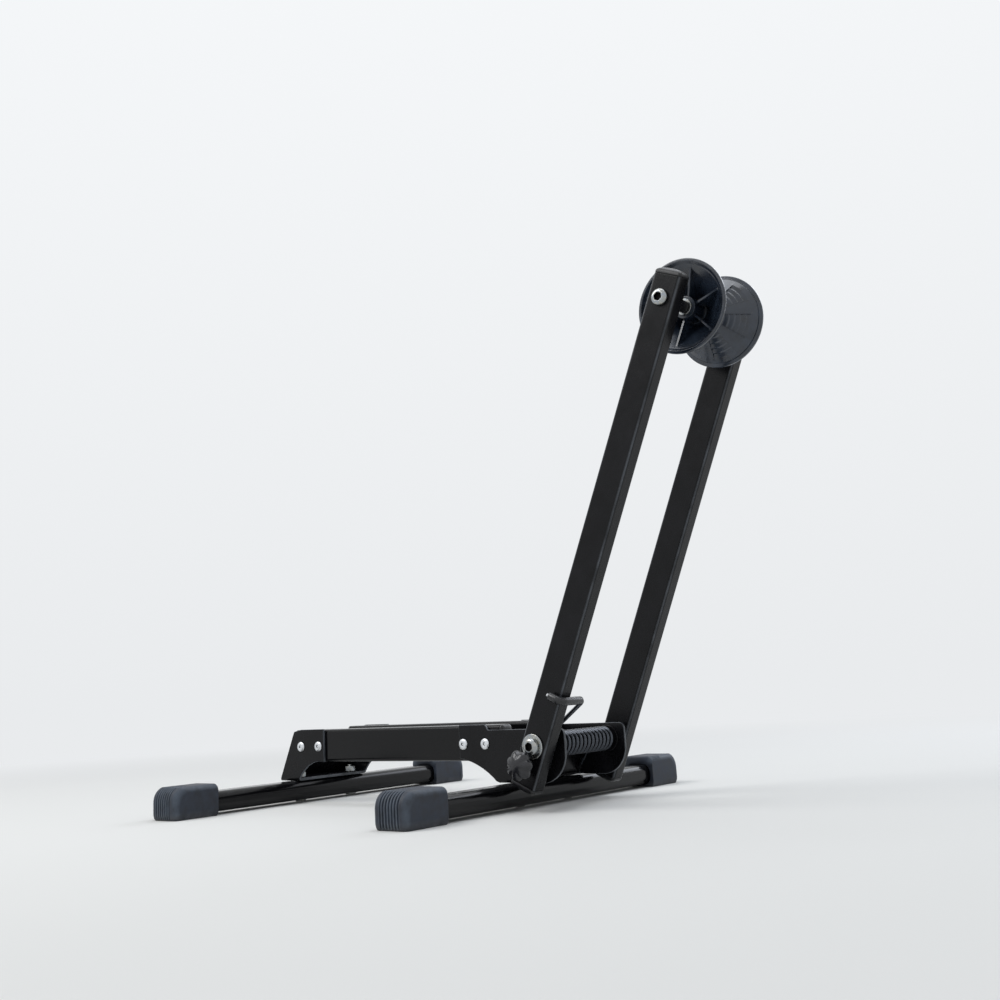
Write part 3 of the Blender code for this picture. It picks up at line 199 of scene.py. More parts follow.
# Polyester powder coat, sprayed and stoved to a full gloss. It gives the eye near-black flats, a clear
# bright band along each bend, a faint orange peel, and a little grey dust on top.
PEEL_WAVE = 0.0018
DUST_PATCH = 0.012
COLOUR_MIX = {"data_type": "RGBA", "out": 2}
gloss_coat, tree, shader, place = new_finish("gloss_black_powder_coat", IOR=1.5, Specular_IOR_Level=0.24)
peel = add(tree, "TexNoise", {"Vector": place, "Scale": 1 / PEEL_WAVE, "Detail": 1.0})
dust = add(tree, "TexNoise", {"Vector": place, "Scale": 1 / DUST_PATCH, "Detail": 6.0, "Roughness": 0.65})
upward = add(tree, "SeparateXYZ", {0: add(tree, "NewGeometry", {}, out="Normal")}, out="Z")
lying = add(tree, "MapRange", {0: upward, 1: 0.5, 2: 1.0})
settled = add(tree, "MapRange", {0: dust, 1: 0.42, 2: 0.75, 3: 0.02, 4: 0.30})
dusty = add(tree, "Math", {0: lying, 1: settled}, operation="MULTIPLY")
tint = add(tree, "Mix", {0: dusty, 6: "#09090b", 7: "#4a4c50"}, **COLOUR_MIX)
haze = add(tree, "MapRange", {0: dust, 1: 0.3, 2: 0.7, 3: 0.12, 4: 0.22})
ripple = add(tree, "Bump", {"Height": peel, "Strength": 0.22, "Distance": 0.0001})
feed(tree, shader, {"Base Color": tint, "Roughness": haze, "Normal": ripple})

shape = tube(BAR_WIDTH, BAR_HEIGHT, BAR_CORNER, BAR_LENGTH)
for row in ROWS:
    start = middle_of(f"{row}_bar") - [0, BAR_LENGTH / 2, 0]
    ringed(f"floor_bar_{row}", shape, start, THIRD_ALONG_Y, gloss_coat,
           rides="base", replaces=f"{row}_bar", slot="gloss_black_paint", loop=True)


# Feet
# Four moulded rubber boots with a square blind socket for the bar. The outer end is swept back and
# ribbed for grip, and short teeth are moulded over the edges behind it. They are a push fit.
FOOT_LENGTH = 0.0484
FOOT_HALF_WIDTH = 0.01715
FOOT_HEIGHT = 0.028
FOOT_BEVEL = 0.005
FOOT_CORNER = 0.0062
FOOT_EDGE = 0.0016
SOLE_TUCK = 0.0016
SOLE_ROUND = 0.006
FOOT_SWEEP = 0.009
FOOT_SWEEP_DROP = 0.011
FOOT_SWEEP_BOW = 0.0023
FOOT_RIBS = 8
RIB_GROOVE = 0.0014
RIB_FADE = 0.0165
RIB_STEPS = 14
GROOVE_FLOOR = 0.12
GROOVE_TOP = 0.34
DIMPLE_DEPTH = 0.0006
DIMPLE_Z = 0.0032
DIMPLE_SPREAD = 0.0011
TOOTH_PITCH = 0.0021
TOOTH_DEPTH = 0.0009
TOOTH_FIRST = 0.0022
TOOTH_COUNT = 7
NOTCH_HALF = 0.32
TEETH_END = 0.0185
SOCKET_WIDTH = 0.0266
SOCKET_HEIGHT = 0.0186
SOCKET_CORNER = 0.0073
SOCKET_DEPTH = 0.0424
SOCKET_Z = 0.0115
MOUTH_FLARE = 0.0004
SIDE_POINTS = 24
SIDE_DRAWN_IN = 0.94


def smooth(value, low, high):
    """Share that rises from 0 at low to 1 at high on the curve t squared times three minus two t."""
    share = np.clip((value - low) / (high - low), 0, 1)
    return share * share * (3 - 2 * share)


def onto_outline(spots, width, height, corner):
    """Points drawn in towards the middle until they lie on a rounded rectangle: the share of the way is
    found by bisection of its signed distance."""
    low, high = np.zeros(len(spots)), np.ones(len(spots))
    for _ in range(30):
        share = (low + high) / 2
        beyond = np.abs(spots * share[:, None]) - [width / 2 - corner, height / 2 - corner]
        outside = np.linalg.norm(np.maximum(beyond, 0), axis=1)
        distance = outside + np.minimum(beyond.max(1), 0) - corner
        low = np.where(distance < 0, share, low)
        high = np.where(distance < 0, high, share)
    return spots * share[:, None]


def foot_skin():
    """A boot's outside with X across, Y outwards and Z up, as a grid: at each place across, a side view
    runs along the sole, up the end, over the sweep and back along the top. Its setback and its drop grow
    on a quarter circle towards the two sides. Grooves, dimples and teeth push the skin inwards, and the
    ribs and corners that stand out have the mark of a rubbed edge."""
    quarter = np.linspace(0, math.pi / 2, 15)[1:]
    flank = FOOT_HALF_WIDTH - FOOT_BEVEL
    ribbed = np.linspace(-flank, flank, FOOT_RIBS * RIB_STEPS + 1)
    edge_x = flank + FOOT_BEVEL * np.sin(quarter)
    across = np.concatenate([-edge_x[::-1], ribbed, edge_x])[:, None]
    tilt = np.concatenate([-quarter[::-1], np.zeros(len(ribbed)), quarter])[:, None]
    end = FOOT_LENGTH - FOOT_CORNER * (1 - np.cos(tilt))
    top = FOOT_HEIGHT - FOOT_BEVEL * (1 - np.cos(tilt))
    turn = np.linspace(0, math.pi / 2, 4)[None, :]
    bend, bent = FOOT_EDGE * (1 - np.cos(turn)), FOOT_EDGE * (1 - np.sin(turn))
    along = np.linspace(0, 1, 9)[None, 1:-1]
    face = np.linspace(0, 1, 30)[None, 1:]
    sweep = np.linspace(0, 1, 22)[None, 1:]
    back = np.linspace(0, 1, 14)[None, 1:]
    teeth = np.linspace(TEETH_END, FOOT_EDGE, 64)[None, 1:]
    bow = 4 * FOOT_SWEEP_BOW * sweep * (1 - sweep) / math.hypot(FOOT_SWEEP, FOOT_SWEEP_DROP)
    rise = top - FOOT_SWEEP_DROP
    wide = np.ones_like(end)
    y = np.concatenate([
        bend * wide,
        FOOT_EDGE + (end - 2 * FOOT_EDGE) * along,
        end - bent,
        end + 0 * face,
        end - FOOT_SWEEP * sweep + bow * FOOT_SWEEP_DROP,
        end - FOOT_SWEEP + (TEETH_END - end + FOOT_SWEEP) * back,
        teeth * wide,
        bend[:, ::-1] * wide,
    ], 1)
    z = np.concatenate([
        bent * wide,
        0 * along * wide,
        bend * wide,
        FOOT_EDGE + (rise - FOOT_EDGE) * face,
        rise + FOOT_SWEEP_DROP * sweep + bow * FOOT_SWEEP,
        top + 0 * back,
        top + 0 * teeth,
        top - bent[:, ::-1],
    ], 1)
    run_y, run_z = np.gradient(y, axis=1), np.gradient(z, axis=1)
    length = np.hypot(run_y, run_z) + 1e-12
    pitch = 2 * flank / FOOT_RIBS
    off = np.abs((across / pitch + 0.5) % 1 - 0.5)
    between = np.abs(across) < flank - pitch / 2
    groove = (1 - smooth(off, GROOVE_FLOOR, GROOVE_TOP)) * between
    on_end = smooth(y, end - FOOT_SWEEP - RIB_FADE, end - FOOT_SWEEP) * smooth(z, 0.0006, 0.002)
    dimple = np.exp(-(((z - DIMPLE_Z) / DIMPLE_SPREAD) ** 2)) * smooth(y, end - 0.002, end - 0.0005)
    depth = groove * (RIB_GROOVE * on_end + DIMPLE_DEPTH * dimple)
    tooth = (y - TOOTH_FIRST) / TOOTH_PITCH
    notch = np.clip(1 - np.abs(tooth % 1 - 0.5) / NOTCH_HALF, 0, 1) * (tooth > 0) * (tooth < TOOTH_COUNT)
    bite = TOOTH_DEPTH * notch * np.sin(2 * np.maximum(tilt, 0)) * (z > FOOT_HEIGHT / 2)
    corner = np.sin(2 * np.abs(tilt)) * smooth(z, 0.001, 0.006)
    rubbed = np.maximum(corner * 0.8, (1 - groove) * on_end * between)
    x = across - bite * np.sin(tilt)
    y = y - depth * run_z / length
    z = z + depth * run_y / length - bite * np.cos(tilt)
    return np.stack([x, y, z], -1), rubbed


def foot_shape():
    """The boot's skin, a flat side closed over at its left and right, and the socket: the skin's inner
    rim joined to rings drawn in to the bar's outline, down to a flat floor. The sole is tucked in."""
    skin, rubbed = foot_skin()
    total = rubbed.size
    number = numbered(skin)
    faces = sheet_quads(number).tolist()
    points = [skin.reshape(-1, 3)]
    posts = []
    for column in (0, -1):
        low, high = skin[column, 0], skin[column, -1]
        post = low + (high - low) * np.linspace(0, 1, SIDE_POINTS + 2)[1:-1, None]
        posts.append(np.arange(total, total + SIDE_POINTS))
        ring = np.concatenate([number[column], posts[-1][::-1]])
        spots = np.concatenate([skin[column], post[::-1]])
        inner = np.arange(len(ring)) + total + SIDE_POINTS
        total += SIDE_POINTS + len(ring)
        points += [post, spots.mean(0) + (spots - spots.mean(0)) * SIDE_DRAWN_IN]
        faces += closed_quads(np.stack([ring, inner])) + [inner.tolist()]
    rim = np.concatenate([number[:, 0], posts[1], number[::-1, -1], posts[0][::-1]])
    spots = np.concatenate(points)[rim][:, [0, 2]] - [0, SOCKET_Z]
    socket = np.array([SOCKET_WIDTH, SOCKET_HEIGHT, SOCKET_CORNER])
    mouth = onto_outline(spots, *(socket + [2 * MOUTH_FLARE, 2 * MOUTH_FLARE, MOUTH_FLARE]))
    bore = onto_outline(spots, *socket)
    for outline, depth in ((mouth, 0.0), (bore, 0.0005), (bore, 0.001), (bore, SOCKET_DEPTH)):
        points.append(np.stack([outline[:, 0], np.full(len(rim), depth), outline[:, 1] + SOCKET_Z], -1))
        ring = np.arange(len(rim)) + total
        faces += closed_quads(np.stack([rim, ring]))
        rim = ring
        total += len(ring)
    faces.append(rim.tolist())
    points = np.concatenate(points)
    low = np.clip(1 - points[:, 2] / SOLE_ROUND, 0, 1) ** 2
    side = smooth(np.abs(points[:, 0]), SOCKET_WIDTH / 2, FOOT_HALF_WIDTH)
    points[:, 0] -= SOLE_TUCK * low * side * np.sign(points[:, 0])
    points[:, 1] -= SOLE_TUCK * low * smooth(points[:, 1], SOCKET_DEPTH, FOOT_LENGTH)
    return points, faces, np.r_[rubbed.ravel(), np.zeros(len(points) - rubbed.size)]


# Moulded EPDM rubber with a spark-eroded mould texture. It gives a slate grey with no clear reflection,
# a paler bloom in soft patches, brighter rubbed edges, and dust low down near the floor.
BLOOM_PATCH = 0.009
MOULD_GRAIN = 0.0007
rubber, tree, shader, place = new_finish("moulded_slate_rubber", IOR=1.5, Specular_IOR_Level=0.4)
bloom = add(tree, "TexNoise", {"Vector": place, "Scale": 1 / BLOOM_PATCH, "Detail": 5.0, "Roughness": 0.6})
grain = add(tree, "TexNoise", {"Vector": place, "Scale": 1 / MOULD_GRAIN, "Detail": 2.0})
shade = add(tree, "MapRange", {0: bloom, 1: 0.3, 2: 0.72})
body = add(tree, "Mix", {0: shade, 6: "#22262e", 7: "#323946"}, **COLOUR_MIX)
height = add(tree, "SeparateXYZ", {0: place}, out="Z")
low_down = add(tree, "MapRange", {0: height, 1: 0.007, 2: 0.0, 3: 0.0, 4: 0.35})
dusted = add(tree, "Math", {0: low_down, 1: shade}, operation="MULTIPLY")
rubbed = add(tree, "Attribute", {}, out="Fac", attribute_name="mark")
wear_and_highlight = add(tree, "MapRange", {0: bloom, 1: 0.3, 2: 0.65, 3: 0.25, 4: 0.75})
wear_and_highlight = add(tree, "Math", {0: wear_and_highlight, 1: rubbed}, operation="MULTIPLY")
body = add(tree, "Mix", {0: wear_and_highlight, 6: body, 7: "#5c6672"}, **COLOUR_MIX)
tint = add(tree, "Mix", {0: dusted, 6: body, 7: "#7a776f"}, **COLOUR_MIX)
dull = add(tree, "MapRange", {0: bloom, 1: 0.3, 2: 0.7, 3: 0.48, 4: 0.66})
skin_bump = add(tree, "Bump", {"Height": grain, "Strength": 0.45, "Distance": 0.0001})
feed(tree, shader, {"Base Color": tint, "Roughness": dull, "Normal": skin_bump})

shape, faces, wear_and_highlight = foot_shape()
for row in ROWS:
    for side, sign in SIDES.items():
        node = f"foot_{row}_{side}"
        low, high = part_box(node)
        inner_end = (middle_of(f"{row}_bar")[0], high.y if sign < 0 else low.y, 0)
        points = lay(shape, inner_end, ((sign, 0, 0), (0, sign, 0), (0, 0, 1)))
        piece(f"rubber_{node}", points, faces, rubber,
              rides="base", replaces=node, slot="slate_rubber", crisp=62, mark=wear_and_highlight)


# Rails
# Two rectangular steel tubes that guide the wheel, one on each side of the tyre slot. They are sawn
# square, powder-coated with the bars, and riveted between the two brackets.
RAIL_WIDTH = 0.0147
RAIL_HEIGHT = 0.030
RAIL_CORNER = 0.003
for side in SIDES:
    low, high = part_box(f"rail_{side}")
    shape = tube(RAIL_WIDTH, RAIL_HEIGHT, RAIL_CORNER, high.x - low.x)
    start = (low.x, *middle_of(f"rail_{side}")[1:])
    ringed(f"wheel_rail_{side}", shape, start, ((0, 1, 0), (0, 0, 1), (1, 0, 0)), gloss_coat,
           rides="base", replaces=f"rail_{side}", slot="gloss_black_paint", loop=True)


# End plugs of the rails
# Polyethylene push-in plugs with a soft pillow top. A thin flange covers the sawn end of the tube and
# a skirt grips inside it.
RAIL_DOME = 0.0036
FLANGE = 0.0012
FLANGE_EDGE = 0.00025
SEAT = 0.0003


def plug(width, depth, corner, dome, skirt):
    """Rows of an end plug along its third axis: the skirt, the flange with a softened edge, and a pillow
    whose outline shrinks as the cosine of an angle while it rises as the sine, and grows rounder."""
    turn = np.linspace(0, math.pi / 2, 15)[1:-1]
    sunk = TUBE_WALL + SEAT
    scale = np.r_[np.ones(5), np.cos(turn) ** 0.8, 0.03]
    inset = np.r_[0.0004, FLANGE_EDGE / 3, np.zeros(len(turn) + 4)]
    pillow = np.r_[(dome - SEAT) * np.sin(turn), dome - SEAT]
    rise = SEAT + np.r_[0, FLANGE_EDGE / 3, FLANGE_EDGE, FLANGE * 0.6, FLANGE, FLANGE + pillow]
    half = min(width, depth) / 2
    outlines = [(width - 2 * sunk, depth - 2 * sunk, max(corner - TUBE_WALL, 0.0006))] * 2
    for size, cut in zip(scale, inset):
        radius = size * (corner + (half - corner) * 0.9 * (1 - size)) - cut
        outlines.append((size * width - 2 * cut, size * depth - 2 * cut, radius))
    rings = [rounded_rectangle(*outline, steps=6, margin=outline[2] * 0.04) for outline in outlines]
    return stacked(rings, np.r_[-skirt, SEAT, rise])


# Low-density polyethylene, moulded and left as it comes: a soft black with a waxy half gloss, a faint
# cloudiness and fine scuffs that lift the roughness here and there.
CLOUD_PATCH = 0.004
SCUFF_WIDTH = 0.0009
soft_plastic, tree, shader, place = new_finish("moulded_black_polyethylene", IOR=1.51)
cloud = add(tree, "TexNoise", {"Vector": place, "Scale": 1 / CLOUD_PATCH, "Detail": 4.0})
stretched = add(tree, "Mapping", {"Vector": place, "Scale": (1.0, 1.0, 0.2)})
scuff = add(tree, "TexNoise", {"Vector": stretched, "Scale": 1 / SCUFF_WIDTH, "Detail": 3.0})
shade = add(tree, "MapRange", {0: cloud, 1: 0.3, 2: 0.7})
tint = add(tree, "Mix", {0: shade, 6: "#121214", 7: "#1c1d20"}, **COLOUR_MIX)
dull = add(tree, "MapRange", {0: scuff, 1: 0.35, 2: 0.7, 3: 0.30, 4: 0.46})
wax = add(tree, "Bump", {"Height": cloud, "Strength": 0.2, "Distance": 0.0001})
feed(tree, shader, {"Base Color": tint, "Roughness": dull, "Normal": wax})

for side in SIDES:
    rail_low, rail_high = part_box(f"rail_{side}")
    for end, x, way in (("front", rail_low.x, -1), ("rear", rail_high.x, 1)):
        node = f"rail_plug_{end}_{side}"
        low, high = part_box(node)
        shape = plug(RAIL_WIDTH, RAIL_HEIGHT, RAIL_CORNER, RAIL_DOME, abs(x - (high.x if way < 0 else low.x)))
        start = (x, *middle_of(f"rail_{side}")[1:])
        ringed(f"rail_end_plug_{end}_{side}", shape, start, ((0, 1, 0), (0, 0, 1), (way, 0, 0)),
               soft_plastic, rides="base", replaces=node, slot="black_plastic", caps=2)


# Front and rear brackets
# Each is a blank laser-cut from 2.5 mm steel and folded to a U: a web that is bolted down on the bar
# and two cheeks outside the rails. The blank's cut edge is linished, which leaves it softly rounded.
SHEET = 0.0025
CUT_EDGE = 0.0004
FOLD_RADIUS = 0.00175
WEB_HALF = 0.0435
WEB_MIDDLE = 0.02205
WEB_BOTTOM = 0.0208
FOLD_TOP = WEB_MIDDLE + FOLD_RADIUS
FOLD_END = WEB_HALF + FOLD_RADIUS * math.pi / 2
LEAN = math.radians(24.8)
RAIL_BOTTOM = 0.0386
CHEEK_TOP = 0.0691
NEVER = 1.0
FOLD_RUN_OUT = 0.003
CLIMB_SHARE = 0.02
CLOSE_ROWS = 0.075
BAR_X = {row: float(middle_of(f"{row}_bar")[0]) for row in ROWS}
RIVET_X = {row: [float(middle_of(f"rivet_{row}_near_{number}")[0]) for number in (1, 2)] for row in ROWS}
ARM_PIVOT = middle_of("pivot_sleeve")


def softened(corners, closed=False, steps=5, margin=0.0):
    """Polyline whose corners, each given with a radius last, are turned on tangent arcs. An arc's point
    is the mix of its two end spokes by sines. A margin adds a point before and after each arc."""
    corners = np.array(corners, float)
    spots, radii = corners[:, :-1], corners[:, -1]
    line = []
    for index, (spot, radius) in enumerate(zip(spots, radii)):
        inner = closed or 0 < index < len(spots) - 1
        if radius == 0 or not inner:
            line.append(spot[None])
            continue
        back = spots[index - 1] - spot
        ahead = spots[(index + 1) % len(spots)] - spot
        back, ahead = back / np.linalg.norm(back), ahead / np.linalg.norm(ahead)
        half = math.acos(np.clip(back @ ahead, -1, 1)) / 2
        reach = radius / math.tan(half)
        centre = spot + (back + ahead) / np.linalg.norm(back + ahead) * radius / math.sin(half)
        start, end = spot + back * reach - centre, spot + ahead * reach - centre
        sweep = math.pi - 2 * half
        share = np.linspace(0, 1, steps + 1)[:, None]
        arc = centre + (start * np.sin((1 - share) * sweep) + end * np.sin(share * sweep)) / math.sin(sweep)
        if margin:
            arc = np.concatenate([arc[:1] + back * margin, arc, arc[-1:] + ahead * margin])
        line.append(arc)
    return np.concatenate(line)


def arched(start, end, bow, steps=16):
    """Arc from start to end that stands off its chord by bow on the left."""
    start, end = np.array(start, float), np.array(end, float)
    chord = end - start
    length = np.linalg.norm(chord)
    along, left = chord / length, np.array([-chord[1], chord[0]]) / length
    radius = length**2 / (8 * bow) + bow / 2
    half = math.asin(length / (2 * radius))
    turn = np.linspace(half, -half, steps + 1)[:, None]
    return (start + end) / 2 - left * (radius - bow) + radius * (left * np.cos(turn) - along * np.sin(turn))


def level_line(start, end, count):
    """Points along the bottom of the web from start to end."""
    return np.stack([np.linspace(start, end, count), np.full(count, WEB_BOTTOM)], -1)


def plate(spots, quads, steps=3):
    """Sheet steel from a flat blank of quads. Both skins are the blank with its boundary drawn in, and a
    rim of rows joins them, each row a step round a quarter circle, so the cut edge is rounded. Points
    come back as the blank's two coordinates and the height off its middle, and the rim has the mark of a
    painted highlight along the cut edge, partly where the coat is thin."""
    sides = np.concatenate([quads[:, [0, 1]], quads[:, [1, 2]], quads[:, [2, 3]], quads[:, [3, 0]]])
    _, index, count = np.unique(np.sort(sides, 1), axis=0, return_index=True, return_counts=True)
    rim = sides[index[count == 1]]
    run = spots[rim[:, 1]] - spots[rim[:, 0]]
    out = np.stack([run[:, 1], -run[:, 0]], -1) / np.linalg.norm(run, axis=1)[:, None]
    total = np.zeros_like(spots)
    np.add.at(total, rim[:, 0], out)
    np.add.at(total, rim[:, 1], out)
    reach = 2 * total / np.maximum((total**2).sum(1), 0.5)[:, None]
    turn = np.linspace(0, math.pi / 2, steps + 1)[1:]
    inset = CUT_EDGE * (1 - np.sin(turn))
    insets = np.r_[CUT_EDGE, inset, inset[::-1], CUT_EDGE]
    high = np.r_[SHEET / 2, SHEET / 2 - CUT_EDGE + CUT_EDGE * np.cos(turn)]
    levels = np.r_[high, -high[::-1]]
    points = stacked(spots - reach * insets[:, None, None], levels)
    size, last = len(spots), len(levels) - 1
    skins = np.concatenate([quads, quads[:, ::-1] + size * last])
    wear_and_highlight = np.repeat(np.r_[0.0, np.ones(last - 1), 0.0], size)
    layer = (np.arange(last) * size)[:, None]
    a, b = rim[:, 0] + layer, rim[:, 1] + layer
    faces = np.concatenate([skins, np.stack([a, b, b + size, a + size], -1).reshape(-1, 4)])
    kept, number = np.unique(faces, return_inverse=True)
    return points.reshape(-1, 3)[kept], number.reshape(faces.shape).tolist(), wear_and_highlight[kept]


def height_to_blank(z):
    """Distance along the blank of a height on the cheek: straight above the fold, round it below."""
    turn = np.arccos(np.clip((FOLD_TOP - z) / FOLD_RADIUS, -1, 1))
    return np.where(z > FOLD_TOP, FOLD_END + z - FOLD_TOP, WEB_HALF + FOLD_RADIUS * turn)


def folded(points, web_end):
    """Fold the blank. The web stays flat, the fold is a quarter turn, the cheek stands straight. Past the
    web's end the cheek isn't folded at all, and runs straight down."""
    x, s, w = points.T
    side, s = np.sign(s), np.abs(s)
    turn = np.clip((s - WEB_HALF) / FOLD_RADIUS, 0, math.pi / 2)
    y = np.minimum(s, WEB_HALF) + (FOLD_RADIUS - w) * np.sin(turn)
    z = FOLD_TOP - (FOLD_RADIUS - w) * np.cos(turn) + np.maximum(s - FOLD_END, 0)
    upright = smooth(x, web_end, web_end + FOLD_RUN_OUT)
    y += (WEB_HALF + FOLD_RADIUS - w - y) * upright
    z += (FOLD_TOP + s - FOLD_END - z) * upright
    return np.stack([x, side * y, z], -1)


def bracket_shape(bottom, top, web_ends):
    """U bracket from its cheek's bottom and top lines, each from front to back. The cheek is ruled with
    straight lines between them, spaced along X and a little along the line itself, and its rows lie
    closer by the fold. The web is a grid between the two cheeks."""
    spans = []
    for line in (bottom, top):
        climb = np.r_[0, np.cumsum(np.linalg.norm(np.diff(line, axis=0), axis=1))]
        travel = line[:, 0] + CLIMB_SHARE * climb
        spans.append((travel - travel[0]) / (travel[-1] - travel[0]))
    steps = np.unique(np.round(np.concatenate([spans[0], spans[1], np.linspace(0, 1, 31)]), 5))
    apart = CUT_EDGE / (bottom[-1, 0] - bottom[0, 0])
    steps = np.r_[0, steps[(steps > apart) & (steps < 1 - apart)], 1]
    low, high = [
        np.stack([np.interp(steps, span, line[:, 0]), np.interp(steps, span, line[:, 1])], -1)
        for span, line in zip(spans, (bottom, top))
    ]
    share = np.r_[np.linspace(0, CLOSE_ROWS, 8), np.linspace(CLOSE_ROWS, 1, 12)[1:]][:, None, None]
    cheek = low + (high - low) * share
    web_x = low[(low[:, 0] >= web_ends[0] - 1e-7) & (low[:, 0] <= web_ends[1] + 1e-7), 0]
    web = np.stack(np.broadcast_arrays(web_x, np.linspace(-WEB_HALF, WEB_HALF, 23)[:, None]), -1)
    spots, quads, first = [], [], 0
    for sheet in (cheek, cheek[::-1] * [1, -1], web):
        number = numbered(sheet, first)
        quads.append(sheet_quads(number))
        spots.append(sheet.reshape(-1, 2))
        first += number.size
    spots, quads = np.concatenate(spots), np.concatenate(quads)
    _, index, number = np.unique(np.round(spots * 1e7), axis=0, return_index=True, return_inverse=True)
    return plate(spots[index], number.ravel()[quads])


# The same powder coat in a satin grade over sheet that was only wiped down: a soft dark sheen and fine
# grain. Cut edges and arm corners carry a painted highlight in a lighter grey, partly where the coat is
# thin. The grain is really 0.2 mm and is drawn at 0.6 mm so that it shows.
COAT_GRAIN = 0.0006
HANDLED_PATCH = 0.02
satin_coat, tree, shader, place = new_finish("satin_black_powder_coat", IOR=1.5, Specular_IOR_Level=0.2)
grain = add(tree, "TexNoise", {"Vector": place, "Scale": 1 / COAT_GRAIN, "Detail": 2.0})
patch = add(tree, "TexNoise", {"Vector": place, "Scale": 1 / HANDLED_PATCH, "Detail": 5.0, "Roughness": 0.6})
shade = add(tree, "MapRange", {0: patch, 1: 0.3, 2: 0.7})
tint = add(tree, "Mix", {0: shade, 6: "#0b0b0d", 7: "#131316"}, **COLOUR_MIX)
# The mark paints a lighter grey highlight along cut edges and arm corners, partly thin coat.
edge = add(tree, "Attribute", {}, out="Fac", attribute_name="mark")
thin_coat_and_highlight = add(tree, "MapRange", {0: patch, 1: 0.35, 2: 0.6, 3: 0.35, 4: 0.9})
thin_coat_and_highlight = add(tree, "Math", {0: thin_coat_and_highlight, 1: edge}, operation="MULTIPLY")
tint = add(tree, "Mix", {0: thin_coat_and_highlight, 6: tint, 7: "#666a70"}, **COLOUR_MIX)
dull = add(tree, "MapRange", {0: patch, 1: 0.3, 2: 0.7, 3: 0.22, 4: 0.32})
fine = add(tree, "Bump", {"Height": grain, "Strength": 0.25, "Distance": 0.0001})
feed(tree, shader, {"Base Color": tint, "Roughness": dull, "Normal": fine})

FRONT_HEEL = BAR_X["front"] - 0.016
FRONT_TOE = BAR_X["front"] + 0.0108
FRONT_BACK = RIVET_X["front"][1] + 0.0072
FRONT_NOSE_Z = CHEEK_TOP - 0.0018
FRONT_ARCH_BOW = 0.0066
REAR_TOE = BAR_X["rear"] - 0.0155
REAR_FRONT = RIVET_X["rear"][0] - 0.0047
REAR_STEP_RUN = 0.0034
REAR_STEP_Z = ARM_PIVOT[2] + 0.013
REAR_BACK = ARM_PIVOT[0] + 0.0172
REAR_ROUND = 0.025
REAR_ARCH_LIP = 0.0026
REAR_ARCH_BOW = 0.0035
REAR_WALL_X = BAR_X["rear"] + 0.0036
REAR_WEB_END = REAR_WALL_X + SHEET
front_top = softened([
    (FRONT_HEEL, WEB_BOTTOM, 0),
    (FRONT_HEEL + (FRONT_NOSE_Z - WEB_BOTTOM) * math.tan(LEAN), FRONT_NOSE_Z, 0.0015),
    (RIVET_X["front"][0], CHEEK_TOP, 0.002),
    (FRONT_BACK, CHEEK_TOP, 0.001),
    (FRONT_BACK, RAIL_BOTTOM, 0),
])[1:-1]
front_bottom = np.concatenate([
    level_line(FRONT_HEEL, FRONT_TOE, 9)[:-1],
    arched((FRONT_TOE, WEB_BOTTOM), (FRONT_BACK, RAIL_BOTTOM), FRONT_ARCH_BOW),
])
rear_top = softened([
    (REAR_FRONT, RAIL_BOTTOM, 0),
    (REAR_FRONT, CHEEK_TOP, 0.001),
    (RIVET_X["rear"][1], CHEEK_TOP, 0.0008),
    (RIVET_X["rear"][1] + REAR_STEP_RUN, REAR_STEP_Z, 0.0006),
    (REAR_BACK, REAR_STEP_Z, 0.005),
    (REAR_BACK, WEB_BOTTOM, 0),
])[1:-1]
rear_heel = [(REAR_WEB_END, WEB_BOTTOM, 0), (REAR_BACK, WEB_BOTTOM, REAR_ROUND), (REAR_BACK, REAR_STEP_Z, 0)]
rear_bottom = np.concatenate([
    arched((REAR_FRONT, RAIL_BOTTOM + REAR_ARCH_LIP), (REAR_TOE, WEB_BOTTOM), REAR_ARCH_BOW),
    level_line(REAR_TOE, REAR_WEB_END, 8)[1:],
    softened(rear_heel, steps=16)[1:-1],
])
for row, bottom, top, web_ends, open_from in (
    ("front", front_bottom, front_top, (FRONT_HEEL, FRONT_TOE), NEVER),
    ("rear", rear_bottom, rear_top, (REAR_TOE, REAR_WEB_END), REAR_WEB_END),
):
    unfolded = np.maximum(FOLD_END + bottom[:, 1] - FOLD_TOP, WEB_HALF)
    on_blank = np.where(bottom[:, 0] > open_from + 1e-6, unfolded, height_to_blank(bottom[:, 1]))
    bottom_line = np.stack([bottom[:, 0], on_blank], -1)
    top_line = np.stack([top[:, 0], height_to_blank(top[:, 1])], -1)
    blank, faces, wear_and_highlight = bracket_shape(bottom_line, top_line, web_ends)
    piece(f"{row}_bracket_fold", folded(blank, open_from), faces, satin_coat,
          rides="base", replaces=f"{row}_bracket", slot="satin_black_paint", mark=wear_and_highlight)


# Cross walls of the brackets
# A leaning wall of the same sheet stands across each bracket, and the tyre rests in the shallow dish
# in its top edge. It is fillet-welded to the web and the cheeks before coating.
WALL_HALF = 0.0439
WALLS = {"front": (FRONT_HEEL + SHEET / 2 / math.cos(LEAN), 0.0415), "rear": (REAR_WALL_X, 0.0515)}
WALL_UP = np.array([math.sin(LEAN), 0, math.cos(LEAN)])
WALL_OUT = np.array([math.cos(LEAN), 0, -math.sin(LEAN)])
DISH_RADIUS = 0.060
DISH_DEPTH = 0.004
BEAD_RADIUS = 0.0013
BEAD_RIPPLE = 0.00012
BEAD_PITCH = 0.0022
BEAD_SHORT_OF_CHEEK = 0.002
BEAD_SHORT_OF_TOP = 0.003
BEAD_RINGS = 121
BEAD_TIPS = 30
ASKEW = (0.3, 0.5, 0.8)


def turns(sides):
    """Angles of the points round a full circle."""
    return np.linspace(0, 2 * math.pi, sides, endpoint=False)


